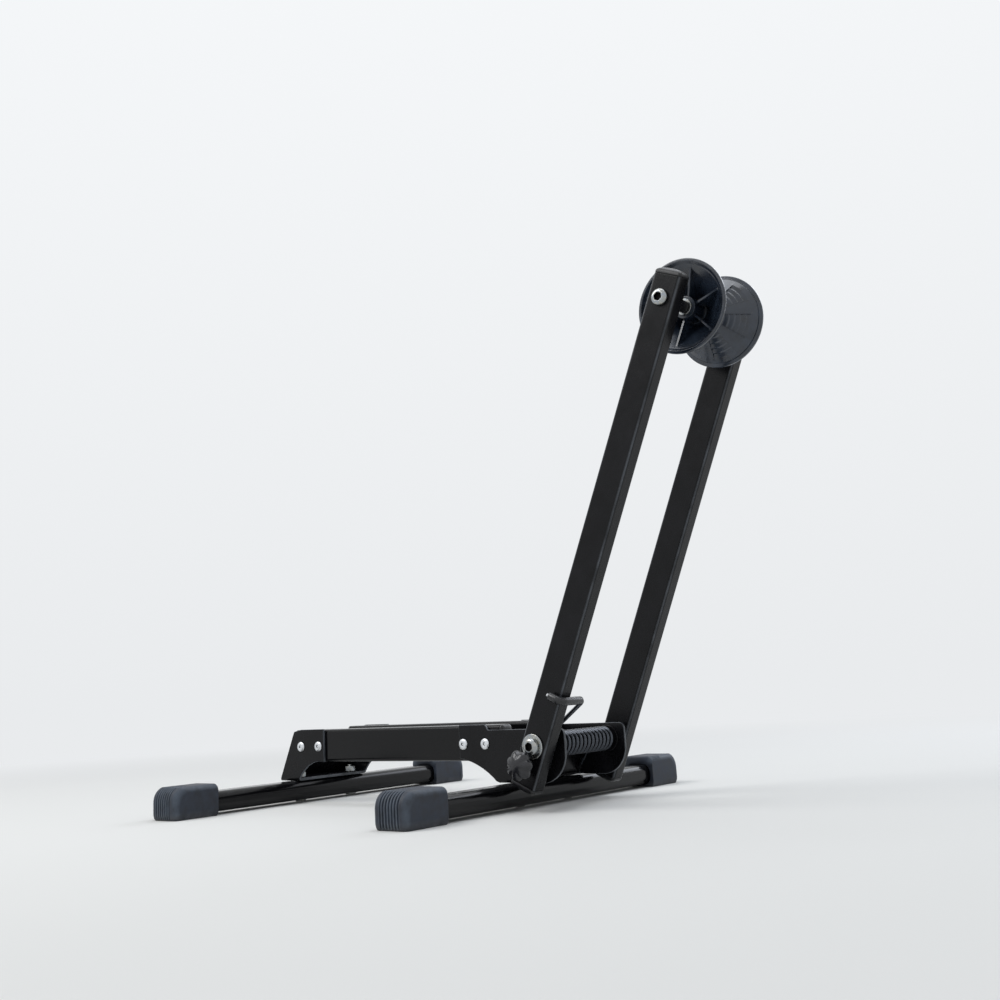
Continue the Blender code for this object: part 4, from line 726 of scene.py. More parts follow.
def weld(start, end):
    """Weld bead between two points: a round bar sunk in the corner, its radius rippled by a cosine along
    it and drawn in to nothing at both ends."""
    length = np.linalg.norm(end - start)
    along = (end - start) / length
    across = np.cross(along, ASKEW)
    across /= np.linalg.norm(across)
    share = (1 - np.cos(np.linspace(0, math.pi, BEAD_RINGS))) / 2
    taper = np.sqrt(1 - (2 * share - 1) ** BEAD_TIPS)
    radius = (BEAD_RADIUS + BEAD_RIPPLE * np.cos(share * length * 2 * math.pi / BEAD_PITCH)) * taper
    turn = turns(12)[None, :, None]
    ring = across * np.cos(turn) + np.cross(along, across) * np.sin(turn)
    return start + (end - start) * share[:, None, None] + ring * radius[:, None, None]


for row, (wall_x, wall_top) in WALLS.items():
    across = np.linspace(-WALL_HALF, WALL_HALF, 61)
    dish = wall_top + DISH_RADIUS - DISH_DEPTH - np.sqrt(DISH_RADIUS**2 - across**2)
    rise = (np.minimum(wall_top, dish) - WEB_MIDDLE - SHEET / 4) / math.cos(LEAN)
    sheet = np.stack(np.broadcast_arrays(across, rise * np.linspace(0, 1, 7)[:, None]), -1)
    blank, faces, wear_and_highlight = plate(sheet.reshape(-1, 2), sheet_quads(numbered(sheet)))
    foot = np.array([wall_x, 0, WEB_MIDDLE])
    points = lay(blank, foot, ((0, 1, 0), WALL_UP, WALL_OUT))
    piece(f"{row}_bracket_wall", points, faces, satin_coat,
          rides="base", replaces=f"{row}_bracket", slot="satin_black_paint", mark=wear_and_highlight)
    behind = foot + WALL_OUT * SHEET / 2 + WALL_UP * SHEET / 2
    half = np.array([0, WALL_HALF - BEAD_SHORT_OF_CHEEK, 0])
    seam = WALL_UP * ((wall_top - WEB_MIDDLE) / math.cos(LEAN) - BEAD_SHORT_OF_TOP)
    corners = [behind + [0, sign * WALL_HALF, 0] for sign in SIDES.values()]
    beads = np.stack([weld(behind - half, behind + half), *(weld(spot, spot + seam) for spot in corners)])
    faces = []
    for index, bead in enumerate(beads):
        faces += closed_quads(numbered(bead, index * bead[..., 0].size))
    piece(f"{row}_bracket_welds", beads, faces, satin_coat,
          rides="base", replaces=f"{row}_bracket", slot="satin_black_paint", crisp=70)


# Blind rivets
# Two aluminium-bodied rivets with a domed flange go through each cheek into the rail. The mandrel's
# broken stem sits in a dimple in the middle of each head, and the shank swells inside the rail.
CHEEK_FACE = 0.0465
RIVET_HEAD = 0.0047
RIVET_CROWN = 0.0017
RIVET_DOME = 0.0015
RIVET_SHANK = 0.0023
RIVET_GRIP = 0.0024
STEM_DEPTH = 0.62
STEM_RADIUS = 0.0009
DIMPLE_RADIUS = 0.0013
DIMPLE_FLOOR = CHEEK_FACE + 0.0004
BULGE_RADIUS = 0.0034


def rows_of(along, radius, sides):
    """Rows about Y from distances and radii, either of which may change round the axis."""
    along, radius, turn = np.broadcast_arrays(along, radius, turns(sides))
    return np.stack([radius * np.cos(turn), along, radius * np.sin(turn)], -1)


def turned(profile, sides=64):
    """Rows of a solid turned about Y: every (along, radius) point is carried round the axis."""
    along, radius = np.array(profile, float).T[..., None]
    return rows_of(along, radius, sides)


# Bright aluminium, drawn and upset cold: a white silver, a little cloudy, and a dark painted shade
# where a mark says that the surface is sunk.
CLOUDED_PATCH = 0.0015
aluminium, tree, shader, place = new_finish("bright_drawn_aluminium", Metallic=1.0)
cloud = add(tree, "TexNoise", {"Vector": place, "Scale": 1 / CLOUDED_PATCH, "Detail": 3.0})
tint = add(tree, "Mix", {0: cloud, 6: "#c9ccd0", 7: "#eceef0"}, **COLOUR_MIX)
# The mark paints shade into the dimple round the mandrel's stem.
painted_recess_shade = add(tree, "Attribute", {}, out="Fac", attribute_name="mark")
tint = add(tree, "Mix", {0: painted_recess_shade, 6: tint, 7: "#34363a"}, **COLOUR_MIX)
dull = add(tree, "MapRange", {0: cloud, 1: 0.3, 2: 0.7, 3: 0.24, 4: 0.42})
feed(tree, shader, {"Base Color": tint, "Roughness": dull})

stem = CHEEK_FACE + RIVET_DOME * STEM_DEPTH
head = CHEEK_FACE + SEAT
dome = np.linspace(math.pi / 2, 0.32, 12)
brim = RIVET_HEAD - RIVET_CROWN
inside = head - SHEET - RIVET_GRIP
shape = turned(np.concatenate([
    [(stem, 0), (stem, STEM_RADIUS), (DIMPLE_FLOOR, STEM_RADIUS + 0.0001), (DIMPLE_FLOOR, DIMPLE_RADIUS)],
    [(head + RIVET_DOME * 0.9, DIMPLE_RADIUS + 0.0001)],
    np.stack([head + RIVET_DOME * np.sin(dome), RIVET_CROWN + brim * np.cos(dome)], -1),
    [(head, RIVET_HEAD), (head, RIVET_SHANK), (inside, RIVET_SHANK), (inside - 0.0006, 0.0031)],
    [(inside - 0.0014, BULGE_RADIUS), (inside - 0.003, 0.003)],
    [(inside - 0.004, RIVET_SHANK), (inside - 0.004, 0)],
]))
# The rows on the dimple's floor are marked for the painted shade.
sunk = np.isin(np.arange(len(shape)), (2, 3)).repeat(shape.shape[1])
for side, sign in SIDES.items():
    for row in ROWS:
        for number in (1, 2):
            node = f"rivet_{row}_{side}_{number}"
            x, _, z = middle_of(node)
            ringed(f"blind_{node}", shape, (x, 0, z), np.diag([1, sign, 1]), aluminium,
                   rides="base", replaces=node, slot="bright_zinc", mark=sunk)


# Bracket bolts and nuts
# M6 bolts with a thin head come up through bar and web, each into a hexagon nut on the web. Both are
# cold-formed and zinc plated, and a turn and a half of thread shows above the nut.
BAR_BOLT = 0.00295
BAR_BOLT_PITCH = 0.001
BAR_BOLT_HEAD = 0.0055
BAR_BOLT_HEAD_HEIGHT = 0.0013
BAR_NUT_FLATS = 0.010
BAR_NUT_HEIGHT = 0.005
THREAD_PLAY = 0.0001
COUNTERSINK = 0.0004
NUT_FACE = 0.475
CONE_RISE = 1.73
THREAD_DEPTH = 0.55
ROWS_A_PITCH = 10
ROUND = 96


def hexagon(turn, flats):
    """Distance from the middle to a hexagon: half its width over the cosine of the angle off its flat."""
    return flats / 2 / np.cos((turn + math.pi / 6) % (math.pi / 3) - math.pi / 6)


def nut(flats, height, bore):
    """Rows of a hexagon nut from 0 to height along Y: out over a countersink, up the hexagon cut back by
    a 30 degree cone at both ends, and down the bore."""
    lift = np.r_[0, np.linspace(0.00005, flats * 0.09, 7)]
    cone = flats * NUT_FACE + lift * CONE_RISE
    outside = np.minimum(hexagon(turns(ROUND), flats), np.r_[cone, cone[::-1]][:, None])
    sunk, wall = np.full((1, ROUND), bore + COUNTERSINK), np.full((2, ROUND), bore)
    along = np.r_[0, lift, height - lift[::-1], height, height - COUNTERSINK, COUNTERSINK]
    return rows_of(along[:, None], np.concatenate([sunk, outside, sunk, wall]), ROUND)


def thread(start, end, radius, pitch):
    """Rows of a screw thread along Y: the radius rises and falls as a triangle wave of the distance in
    pitches less the turn, so the ridge climbs one pitch each time round. It runs out into a chamfer."""
    along = np.linspace(start, end, max(int((end - start) / pitch * ROWS_A_PITCH), 6))[:, None]
    wave = np.abs(((along / pitch - turns(ROUND) / (2 * math.pi)) % 1) * 2 - 1)
    depth = THREAD_DEPTH * pitch
    chamfer = np.maximum(along - (end - depth), 0)
    return rows_of(along, np.minimum(radius - depth * (1 - wave), radius - chamfer), ROUND)


def pole(along):
    """One row drawn in to a point of the axis, which closes a turned solid."""
    return rows_of(np.full((1, 1), along), 0.0, ROUND)


# Bright zinc plate with a clear passivate on turned and cold-headed steel: a cool silver with soft
# bands of straw and blue, turning marks, and a dark painted shade where a mark says that the surface is sunk.
PASSIVATE_BAND = 0.003
TURNING_MARK = 0.0004
zinc, tree, shader, place = new_finish("bright_zinc_plate", Metallic=1.0)
band = add(tree, "TexNoise", {"Vector": place, "Scale": 1 / PASSIVATE_BAND, "Detail": 3.0, "Distortion": 0.6})
turning = add(tree, "TexNoise", {"Vector": place, "Scale": 1 / TURNING_MARK, "Detail": 2.0})
shade = add(tree, "MapRange", {0: band, 1: 0.3, 2: 0.7})
tint = add(tree, "Mix", {0: shade, 6: "#979ea6", 7: "#adaba2"}, **COLOUR_MIX)
dull = add(tree, "MapRange", {0: band, 1: 0.25, 2: 0.75, 3: 0.16, 4: 0.32})
turning = add(tree, "Bump", {"Height": turning, "Strength": 0.18, "Distance": 0.00005})
# The mark paints shade into the bolts' hexagon sockets.
painted_recess_shade = add(tree, "Attribute", {}, out="Fac", attribute_name="mark")
tint = add(tree, "Mix", {0: painted_recess_shade, 6: tint, 7: "#1d1c1b"}, **COLOUR_MIX)
dull = add(tree, "Mix", {0: painted_recess_shade, 2: dull, 3: 0.6})
feed(tree, shader, {"Base Color": tint, "Roughness": dull, "Normal": turning})

nut_shape = nut(BAR_NUT_FLATS, BAR_NUT_HEIGHT, BAR_BOLT + THREAD_PLAY)
for row in ROWS:
    for side in SIDES:
        node = f"bar_bolt_{row}_{side}"
        low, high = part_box(node)
        nut_low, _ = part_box(f"bar_nut_{row}_{side}")
        x, y, _ = middle_of(node)
        under = low.z + BAR_BOLT_HEAD_HEIGHT
        head = softened([
            (low.z + 0.0004, 0, 0), (low.z + 0.0004, 0.0016, 0.0003), (low.z, 0.0024, 0.0003),
            (low.z, BAR_BOLT_HEAD - 0.0006, 0.0005), (low.z + 0.0009, BAR_BOLT_HEAD, 0.0002),
            (under, BAR_BOLT_HEAD, 0), (under, BAR_BOLT, 0),
        ], steps=4)
        screw = thread(nut_low.z, high.z, BAR_BOLT, BAR_BOLT_PITCH)
        shape = np.concatenate([turned(head, ROUND), screw, pole(high.z)])
        ringed(f"bracket_bolt_{row}_{side}", shape, (x, y, 0), THIRD_ALONG_Y, zinc,
               rides="base", replaces=node, slot="bright_zinc")
        ringed(f"bracket_nut_{row}_{side}", nut_shape, (x, y, nut_low.z), THIRD_ALONG_Y, zinc,
               rides="base", replaces=f"bar_nut_{row}_{side}", slot="bright_zinc", loop=True, crisp=25)


# Pivot sleeve and its washers
# A length of steel tube between the cheeks carries the spring's coils, with a black washer at each end
# that keeps the coils off the cheeks. The pivot bolt runs through all three.
BORE = 0.0043
SLEEVE_RADIUS = 0.006
SLEEVE_WASHER_RADIUS = 0.011
STEEL_EDGE = 0.0003
PIVOT = np.array([ARM_PIVOT[0], 0, ARM_PIVOT[2]])
STAND_AXES = np.eye(3)


def ring_piece(name, centre, axes, bore, radius, edge, sides, ends, material, **options):
    """Piece turned about Y from one end to another: a ring with four softened edges."""
    low, high = ends
    corners = [(low, bore, edge), (low, radius, edge), (high, radius, edge), (high, bore, edge)]
    shape = turned(softened(corners, closed=True, steps=4, margin=edge / 3), sides)
    ringed(name, shape, centre, axes, material, loop=True, **options)


for name, node, radius, sides in (
    ("spring_carrier_sleeve", "pivot_sleeve", SLEEVE_RADIUS, 64),
    ("coil_end_washer_near", "sleeve_washer_near", SLEEVE_WASHER_RADIUS, ROUND),
    ("coil_end_washer_far", "sleeve_washer_far", SLEEVE_WASHER_RADIUS, ROUND),
):
    low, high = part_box(node)
    ring_piece(name, PIVOT, STAND_AXES, BORE, radius, STEEL_EDGE, sides, (low.y, high.y), satin_coat,
               rides="base", replaces=node, slot="satin_black_paint")


# Arms
# Two rectangular steel tubes, drilled for the pivot, the roller axle and the clamp, and coated satin
# black. They swing together on the pivot bolt. The outer face of the near arm is left plain.
ARM_LEAN = math.radians(24.1)
ARM_DEPTH = 0.025
ARM_WIDTH = 0.015
ARM_CORNER = 0.0025
ARM_TAIL = 0.033
ARM_REACH = 0.3765
ARM_TOP = ARM_REACH + 0.019
ARM_INNER = 0.0514
ARM_OUTER = 0.0664
ARM_MIDDLE = (ARM_INNER + ARM_OUTER) / 2
ARM_EDGE_HIGHLIGHT = 0.9
OUT_OF_ARM = np.array([math.cos(ARM_LEAN), 0, -math.sin(ARM_LEAN)])
ACROSS = np.array([0, 1, 0])
UP_ARM = np.array([math.sin(ARM_LEAN), 0, math.cos(ARM_LEAN)])
ARM_AXES = (OUT_OF_ARM, ACROSS, UP_ARM)
AXLE = PIVOT + ARM_REACH * UP_ARM


def corner_marks(rows, steps=8):
    """Mark for rows of rounded rectangles: it rises to 1 in the middle of each corner's arc."""
    arc = np.sin(np.linspace(0, math.pi, steps + 1)) ** 4
    return np.tile(np.r_[0, arc, 0], (rows, 4))


shape = tube(ARM_DEPTH, ARM_WIDTH, ARM_CORNER, ARM_TAIL + ARM_TOP)
# The arms' rounded corners carry a painted highlight in a lighter grey, set by this mark.
wear_and_highlight = corner_marks(len(shape)) * ARM_EDGE_HIGHLIGHT
for side, sign in SIDES.items():
    start = PIVOT + sign * ARM_MIDDLE * ACROSS - ARM_TAIL * UP_ARM
    ringed(f"swing_arm_{side}", shape, start, ARM_AXES, satin_coat,
           rides="arms", replaces=f"arm_{side}", slot="satin_black_paint", loop=True, mark=wear_and_highlight)


# End plugs of the arms
# The same push-in polyethylene plugs as in the rails, with a higher pillow top.
ARM_DOME = 0.0048
ARM_SKIRT = 0.010
shape = plug(ARM_WIDTH, ARM_DEPTH, ARM_CORNER, ARM_DOME, ARM_SKIRT)
for side, sign in SIDES.items():
    for end, reach, way in (("top", ARM_TOP, 1), ("bottom", -ARM_TAIL, -1)):
        start = PIVOT + sign * ARM_MIDDLE * ACROSS + reach * UP_ARM
        ringed(f"arm_end_plug_{end}_{side}", shape, start, (ACROSS, OUT_OF_ARM, way * UP_ARM), soft_plastic,
               rides="arms", replaces=f"arm_plug_{end}_{side}", slot="black_plastic", caps=2)


# Pivot bolt and axle bolt, with their nuts
# M8 button-head bolts with a hexagon socket, cold-headed and zinc plated, and nuts with a nylon ring
# in a domed collar that grips the thread. They clamp nothing hard, so the arms and rollers can turn.
BOLT = 0.004
BOLT_PITCH = 0.00125
BOLT_HEAD = 0.007
BOLT_HEAD_HEIGHT = 0.0043
BOLT_HEAD_FLAT = 0.58
BOLT_HEAD_FALL = 0.72
BOLT_THREAD = 0.011
SOCKET_FLATS = 0.0058
SOCKET_DEEP = 0.0026
SOCKET_ROWS = 5
SOCKET_LEAD_IN = 0.00035
DRILL_POINT = 0.0005
NUT_FLATS = 0.013
NUT_HEIGHT = 0.0075
NUT_HEX_HEIGHT = 0.0056
COLLAR_LIP = 0.0008
NYLON_RING_SUNK = 0.001
NYLON_RING_HEIGHT = 0.001


def button_bolt(head_y, tip_y):
    """Rows of a bolt from its socket's floor to its tip. The socket's rows are hexagons, the crown's rows
    turn from hexagon to circle and follow a quarter ellipse, and the far end is a thread."""
    six = hexagon(turns(ROUND) + math.pi / 6, SOCKET_FLATS)
    crown = head_y - BOLT_HEAD_HEIGHT
    floor = crown + SOCKET_DEEP
    fall = np.linspace(0, math.pi / 2, 16)[1:]
    flat = BOLT_HEAD * BOLT_HEAD_FLAT
    rows = [
        (floor + DRILL_POINT, 0),
        (floor, six * 0.9),
        (floor, six),
        (crown + SOCKET_LEAD_IN, six),
        (crown + 0.00005, six + 0.00025),
        (crown, np.maximum(six + 0.0004, BOLT_HEAD * 0.55)),
        (crown, flat),
    ]
    drop = crown + BOLT_HEAD_HEIGHT * BOLT_HEAD_FALL * (1 - np.cos(fall))
    rows += zip(drop, flat + (BOLT_HEAD - flat) * np.sin(fall))
    rows += [
        (head_y - 0.0003, BOLT_HEAD),
        (head_y - 0.0001, BOLT_HEAD - 0.0001),
        (head_y, BOLT_HEAD - 0.0003),
        (head_y, BOLT),
        (tip_y - BOLT_THREAD - 0.001, BOLT),
    ]
    body = [rows_of(np.full((1, 1), along), radius, ROUND) for along, radius in rows]
    return np.concatenate([*body, thread(tip_y - BOLT_THREAD, tip_y, BOLT, BOLT_PITCH), pole(tip_y)])


def collar_nut(low):
    """Rows of a locking nut along Y: hexagon with its cone cuts, then a round collar that is rolled in
    over the nylon ring, and the bore back to the start."""
    face = NUT_FLATS * NUT_FACE
    lift = np.linspace(0, NUT_FLATS * 0.085, 8)
    up = np.minimum(hexagon(turns(ROUND), NUT_FLATS), (face + lift * CONE_RISE)[:, None])
    collar = softened([
        (NUT_HEX_HEIGHT, face * 0.97, 0.0003), (NUT_HEIGHT, face * 0.9, 0.0008),
        (NUT_HEIGHT, face * 0.72, 0.0002), (NUT_HEIGHT - COLLAR_LIP, face * 0.7, 0),
    ], steps=5)
    bore = [(NUT_HEIGHT - COLLAR_LIP, BOLT + THREAD_PLAY), (0.0005, BOLT + THREAD_PLAY), (0, BOLT + 0.0006)]
    along, radius = np.concatenate([collar, bore]).T[..., None]
    along = np.concatenate([lift, NUT_HEX_HEIGHT - lift[::-1], along[:, 0]])
    radius = np.concatenate([up, up[::-1], radius * np.ones(ROUND)])
    return rows_of(low + along[:, None], radius, ROUND)


def clouded(name, patch, detail, dark, light, smooth_end, dull_end, **constants):
    """Finish that follows one noise with patches of a size. The colour goes from dark to light with it,
    and the roughness from the smooth end to the dull end."""
    material, tree, shader, place = new_finish(name, **constants)
    cloud = add(tree, "TexNoise", {"Vector": place, "Scale": 1 / patch, "Detail": detail})
    tint = add(tree, "Mix", {0: cloud, 6: dark, 7: light}, **COLOUR_MIX)
    dull = add(tree, "MapRange", {0: cloud, 1: 0.3, 2: 0.7, 3: smooth_end, 4: dull_end})
    feed(tree, shader, {"Base Color": tint, "Roughness": dull})
    return material


# Nylon for the locking ring: an off-white with a soft mottle, smooth where the thread cut it.
MOTTLE_PATCH = 0.002
nylon = clouded("natural_nylon", MOTTLE_PATCH, 3.0, "#cfcdc2", "#e4e2d8", 0.35, 0.5, IOR=1.53)

for label, centre in (("pivot", PIVOT), ("axle", AXLE)):
    low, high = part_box(f"{label}_bolt")
    nut_low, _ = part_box(f"{label}_nut")
    shape = button_bolt(low.y + BOLT_HEAD_HEIGHT, high.y)
    # The socket's rows are marked for the painted shade.
    sunk = np.repeat(np.arange(len(shape)) < SOCKET_ROWS, ROUND)
    ringed(f"{label}_button_bolt", shape, centre, ARM_AXES, zinc,
           rides="arms", replaces=f"{label}_bolt", slot="bright_zinc", mark=sunk)
    ringed(f"{label}_locking_nut", collar_nut(nut_low.y), centre, ARM_AXES, zinc,
           rides="arms", replaces=f"{label}_nut", slot="bright_zinc", loop=True, crisp=25)
    top = nut_low.y + NUT_HEIGHT - NYLON_RING_SUNK
    ring_piece(f"{label}_nut_nylon_ring", centre, ARM_AXES, BOLT + THREAD_PLAY, NUT_FLATS * 0.33, 0.0002, 64,
               (top - NYLON_RING_HEIGHT, top), nylon,
               rides="arms", replaces=f"{label}_nut", slot="bright_zinc")


# Washers and spacers
# Stamped zinc-plated washers lie outside the arms at the pivot and behind the roller hubs. Black plastic
# spacers keep the arms off the cheeks and the rollers in the middle of the axle.
WASHER_EDGE = 0.0005
for label, centre, radius, finish, slot in (
    ("pivot_washer", PIVOT, 0.010, zinc, "bright_zinc"),
    ("axle_washer", AXLE, 0.007, zinc, "bright_zinc"),
    ("pivot_spacer", PIVOT, 0.008, soft_plastic, "black_plastic"),
    ("axle_spacer", AXLE, 0.0050, soft_plastic, "black_plastic"),
):
    for side in SIDES:
        node = f"{label}_{side}"
        low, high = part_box(node)
        ring_piece(f"{label}_ring_{side}", centre, ARM_AXES, BORE, radius, WASHER_EDGE, ROUND,
                   (low.y, high.y), finish, rides="arms", replaces=node, slot=slot)


# Clamp knob, stud and insert
# A lobed knob moulded on an M8 stud. The stud goes through the near arm into a threaded insert in its
# inner wall, and its end bears on the bracket's cheek to hold the arms where they are.
KNOB_CENTRE = PIVOT - 0.0155 * UP_ARM
KNOB_START = -(ARM_OUTER + SEAT)
KNOB_NECK = 0.0058
KNOB_LENGTH = 0.0125
KNOB_RADIUS = 0.0122
KNOB_NECK_RADIUS = 0.005
KNOB_POLE = 0.0022
KNOB_WIDEST = 0.42
KNOB_LOBES = 7
POINTS_A_LOBE = 24
LOBE_GROOVE = 0.17
GROOVE_WIDTH = 0.2
STUD_RADIUS = 0.0039
INSERT_BORE = 0.0042
INSERT_RADIUS = 0.0052
INSERT_FLANGE_RADIUS = 0.0065
INSERT_FLANGE = 0.0008


def knob_shape():
    """Rows of the knob along -Y: a neck, then a flattened ball on a superellipse. Its radius is drawn in
    by a share that peaks in a narrow groove between two lobes, where the sine of half the lobe's turn
    passes through nothing. The grooves fade out at the neck and in a small disc in the face."""
    turn = turns(KNOB_LOBES * POINTS_A_LOBE)
    climb = np.linspace(-0.36 * math.pi, math.pi / 2, 70)
    swell = KNOB_NECK + KNOB_LENGTH * (KNOB_WIDEST + (1 - KNOB_WIDEST) * np.sin(climb))
    ball = np.stack([np.maximum(swell, KNOB_NECK), KNOB_RADIUS * np.cos(climb) ** 0.95], -1)
    ball[-1, 1] = 0
    neck = np.array([(0, 0.0042), (0, KNOB_NECK_RADIUS - 0.0003), (0.0003, KNOB_NECK_RADIUS),
                     (KNOB_NECK - 0.0004, KNOB_NECK_RADIUS), (KNOB_NECK, KNOB_NECK_RADIUS + 0.0004)])
    along, radius = np.concatenate([neck, ball]).T[..., None]
    lobed = smooth(radius, KNOB_POLE, KNOB_RADIUS * 0.6)
    lobed[: len(neck)] = 0
    sine = np.abs(np.sin(KNOB_LOBES * turn / 2))
    groove = LOBE_GROOVE * (1 - np.sqrt(sine**2 + GROOVE_WIDTH**2) / math.hypot(1, GROOVE_WIDTH))
    return rows_of(KNOB_START - along, radius * (1 - lobed * groove), len(turn))


# Moulded phenolic with the mould's polish: the glossiest black on the stand, a broad soft highlight on
# each lobe and faint finger haze.
HAZE_PATCH = 0.005
polished_plastic = clouded(
    "polished_black_phenolic", HAZE_PATCH, 4.0, "#131317", "#202127", 0.16, 0.28, IOR=1.55
)

ringed("lobed_clamp_knob", knob_shape(), KNOB_CENTRE, ARM_AXES, polished_plastic,
       rides="knob", replaces="clamp_knob", slot="knob_plastic", caps=1)
low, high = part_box("knob_stud")
shape = np.concatenate([pole(low.y), thread(low.y, high.y, STUD_RADIUS, BOLT_PITCH), pole(high.y)])
ringed("clamp_stud", shape, KNOB_CENTRE, ARM_AXES, zinc,
       rides="knob", replaces="knob_stud", slot="bright_zinc")
low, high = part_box("knob_insert")
flange = high.y - INSERT_FLANGE
shape = turned(softened([
    (high.y, INSERT_BORE, 0.0002), (high.y, INSERT_FLANGE_RADIUS, 0.0003),
    (flange, INSERT_FLANGE_RADIUS, 0.0002), (flange, INSERT_RADIUS, 0.0002),
    (low.y, INSERT_RADIUS, 0.0003), (low.y, INSERT_BORE, 0.0002),
], closed=True, steps=3), ROUND)
ringed("threaded_insert", shape, KNOB_CENTRE, ARM_AXES, zinc,
       rides="arms", replaces="knob_insert", slot="bright_zinc", loop=True)


# Torsion spring
# One length of 3.5 mm spring wire, coiled cold round the pivot sleeve. Its near leg hooks over the
# back and outside of the near arm, and its far leg bears on the rear bracket's cross wall.
WIRE = 0.0035
COIL_RADIUS = 0.0087
COIL_TURNS = 13
RINGS_A_TURN = 44
COIL_NEAR = -0.0375
COIL_FAR = 0.0385
HOOK_HEIGHT = 0.045
HOOK_TIP = 0.0015
HOOK_BEND = 0.005
SLEEVE_WALL = 0.0013
LEG_OVER_WEB = 0.0045
WEB_TOP = 0.0233
BARE_ROWS = 6


def hook_line():
    """The hook's middle line behind and outside the near arm: out, across and up along the arm."""
    clear = SEAT + WIRE / 2 + SEAT + SLEEVE_WALL
    return ARM_DEPTH / 2 + clear, -(ARM_OUTER + clear), HOOK_HEIGHT


def spring_path():
    """The wire's middle line in the arm's directions: the hook's straight runs turned on arcs, a helix of
    even pitch, and a straight tangent leg to the wall."""
    x, y, z = hook_line()
    near_angle = math.atan2(z, x) + math.acos(COIL_RADIUS / math.hypot(x, z))
    clear = (SHEET / 2 + WIRE / 2 + SEAT) / math.cos(LEAN)
    leg_z = WEB_TOP + LEG_OVER_WEB
    leg_x = REAR_WALL_X + (leg_z - WEB_MIDDLE) * math.tan(LEAN) + clear
    leg = np.array([leg_x, 0, leg_z]) - PIVOT
    far_angle = math.atan2(leg[2], leg[0]) + ARM_LEAN - math.acos(COIL_RADIUS / np.linalg.norm(leg))
    sweep = (far_angle - near_angle) % (2 * math.pi) + 2 * math.pi * COIL_TURNS
    share = np.linspace(0, 1, round(RINGS_A_TURN * sweep / (2 * math.pi)))
    angle = near_angle + sweep * share
    across = COIL_NEAR + (COIL_FAR - COIL_NEAR) * share
    coil = np.stack([COIL_RADIUS * np.cos(angle), across, COIL_RADIUS * np.sin(angle)], -1)
    bends = [(HOOK_TIP, y, z, 0), (x, y, z, HOOK_BEND), (x, COIL_NEAR, z, HOOK_BEND), (*coil[0], 0)]
    leg_end = (leg @ OUT_OF_ARM, COIL_FAR, leg @ UP_ARM)
    return np.concatenate([softened(bends, steps=14)[:-1], coil, [leg_end]])


def rings_along(path, lead, sides):
    """Middles of rings along a path, and unit circles square to it. The first direction of a circle is
    square to the path and to a guide that is Y where the path crosses Y and Z where it runs along Y. At
    both ends, rings at the lead's distances inwards take the end point's place."""
    run = np.gradient(path, axis=0)
    run /= np.linalg.norm(run, axis=1)[:, None]
    along_y = run[:, 1:2] ** 2
    side = np.cross(run, (1 - along_y) * [0.0, 1.0, 0.0] + along_y * [0.0, 0.0, 1.0])
    side /= np.linalg.norm(side, axis=1)[:, None]
    other = np.cross(run, side)
    inward, last = lead[:, None], len(path) - 1
    middles = np.concatenate([path[0] + run[0] * inward, path[1:-1], path[-1] - run[-1] * inward[::-1]])
    index = np.r_[np.full(len(lead), 0), 1:last, np.full(len(lead), last)]
    angle = turns(sides)[None, :, None]
    return middles[:, None], side[index, None] * np.cos(angle) + other[index, None] * np.sin(angle)


def wire_shape(path, radius):
    """Rows of round wire along a path. At both ends the circle draws in on a quarter ellipse for the
    cropped and tumbled tip."""
    turn = np.linspace(0, math.pi / 2, BARE_ROWS + 1)[:-1]
    middles, circles = rings_along(path, radius * 0.5 * (1 - np.cos(turn)), 20)
    tip = radius * np.sin(turn)
    size = np.r_[tip, np.full(len(path) - 2, radius), tip[::-1]]
    return middles + circles * size[:, None, None]


# Oil-tempered spring wire with a black phosphate and a film of oil: dark, but metallic, with drawn
# streaks along the wire and bright glints on every turn. A mark says where the cropped end is bare.
STREAK = 0.0012
OIL_PATCH = 0.006
spring_steel, tree, shader, place = new_finish("oiled_black_spring_steel", Metallic=0.85)
drawn = add(tree, "TexNoise", {"Vector": place, "Scale": 1 / STREAK, "Detail": 4.0, "Roughness": 0.6})
oil = add(tree, "TexNoise", {"Vector": place, "Scale": 1 / OIL_PATCH, "Detail": 3.0})
tint = add(tree, "Mix", {0: drawn, 6: "#202227", 7: "#5d6168"}, **COLOUR_MIX)
bare = add(tree, "Attribute", {}, out="Fac", attribute_name="mark")
tint = add(tree, "Mix", {0: bare, 6: tint, 7: "#d2d4d6"}, **COLOUR_MIX)
dull = add(tree, "MapRange", {0: oil, 1: 0.3, 2: 0.7, 3: 0.12, 4: 0.24})
rough = add(tree, "Bump", {"Height": drawn, "Strength": 0.15, "Distance": 0.0001})
feed(tree, shader, {"Base Color": tint, "Roughness": dull, "Normal": rough})

shape = wire_shape(spring_path(), WIRE / 2)
cropped = np.repeat(np.arange(len(shape)) < BARE_ROWS, shape.shape[1])
points, faces = lay(shape, PIVOT, ARM_AXES), closed_quads(numbered(shape))
spring = shape_object("coiled_torsion_spring", points, faces, spring_steel, mark=cropped)
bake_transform(spring)
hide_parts("torsion_spring")


# Sleeve on the spring's hook
# A short length of soft PVC tube, pushed over the hook so that the wire doesn't rub the arm's coat.
# The wire's bright end stands a little proud of it.
SLEEVE_BORE = WIRE / 2 + SEAT
SLEEVE_EDGE = 0.0004
BARE_TIP = 0.0028


def pipe_shape(path, bore, radius):
    """Rows of an open pipe along a path: out along the outer skin, over both quarter-round end edges, and
    back along the bore."""
    turn = np.linspace(0, math.pi / 2, 5)
    middles, circles = rings_along(path, SLEEVE_EDGE * (1 - np.cos(turn)), 32)
    edge = radius - SLEEVE_EDGE * (1 - np.sin(turn))
    size = np.r_[edge, np.full(len(path) - 2, radius), edge[::-1]]
    return np.concatenate([middles + circles * size[:, None, None], (middles + circles * bore)[::-1]])


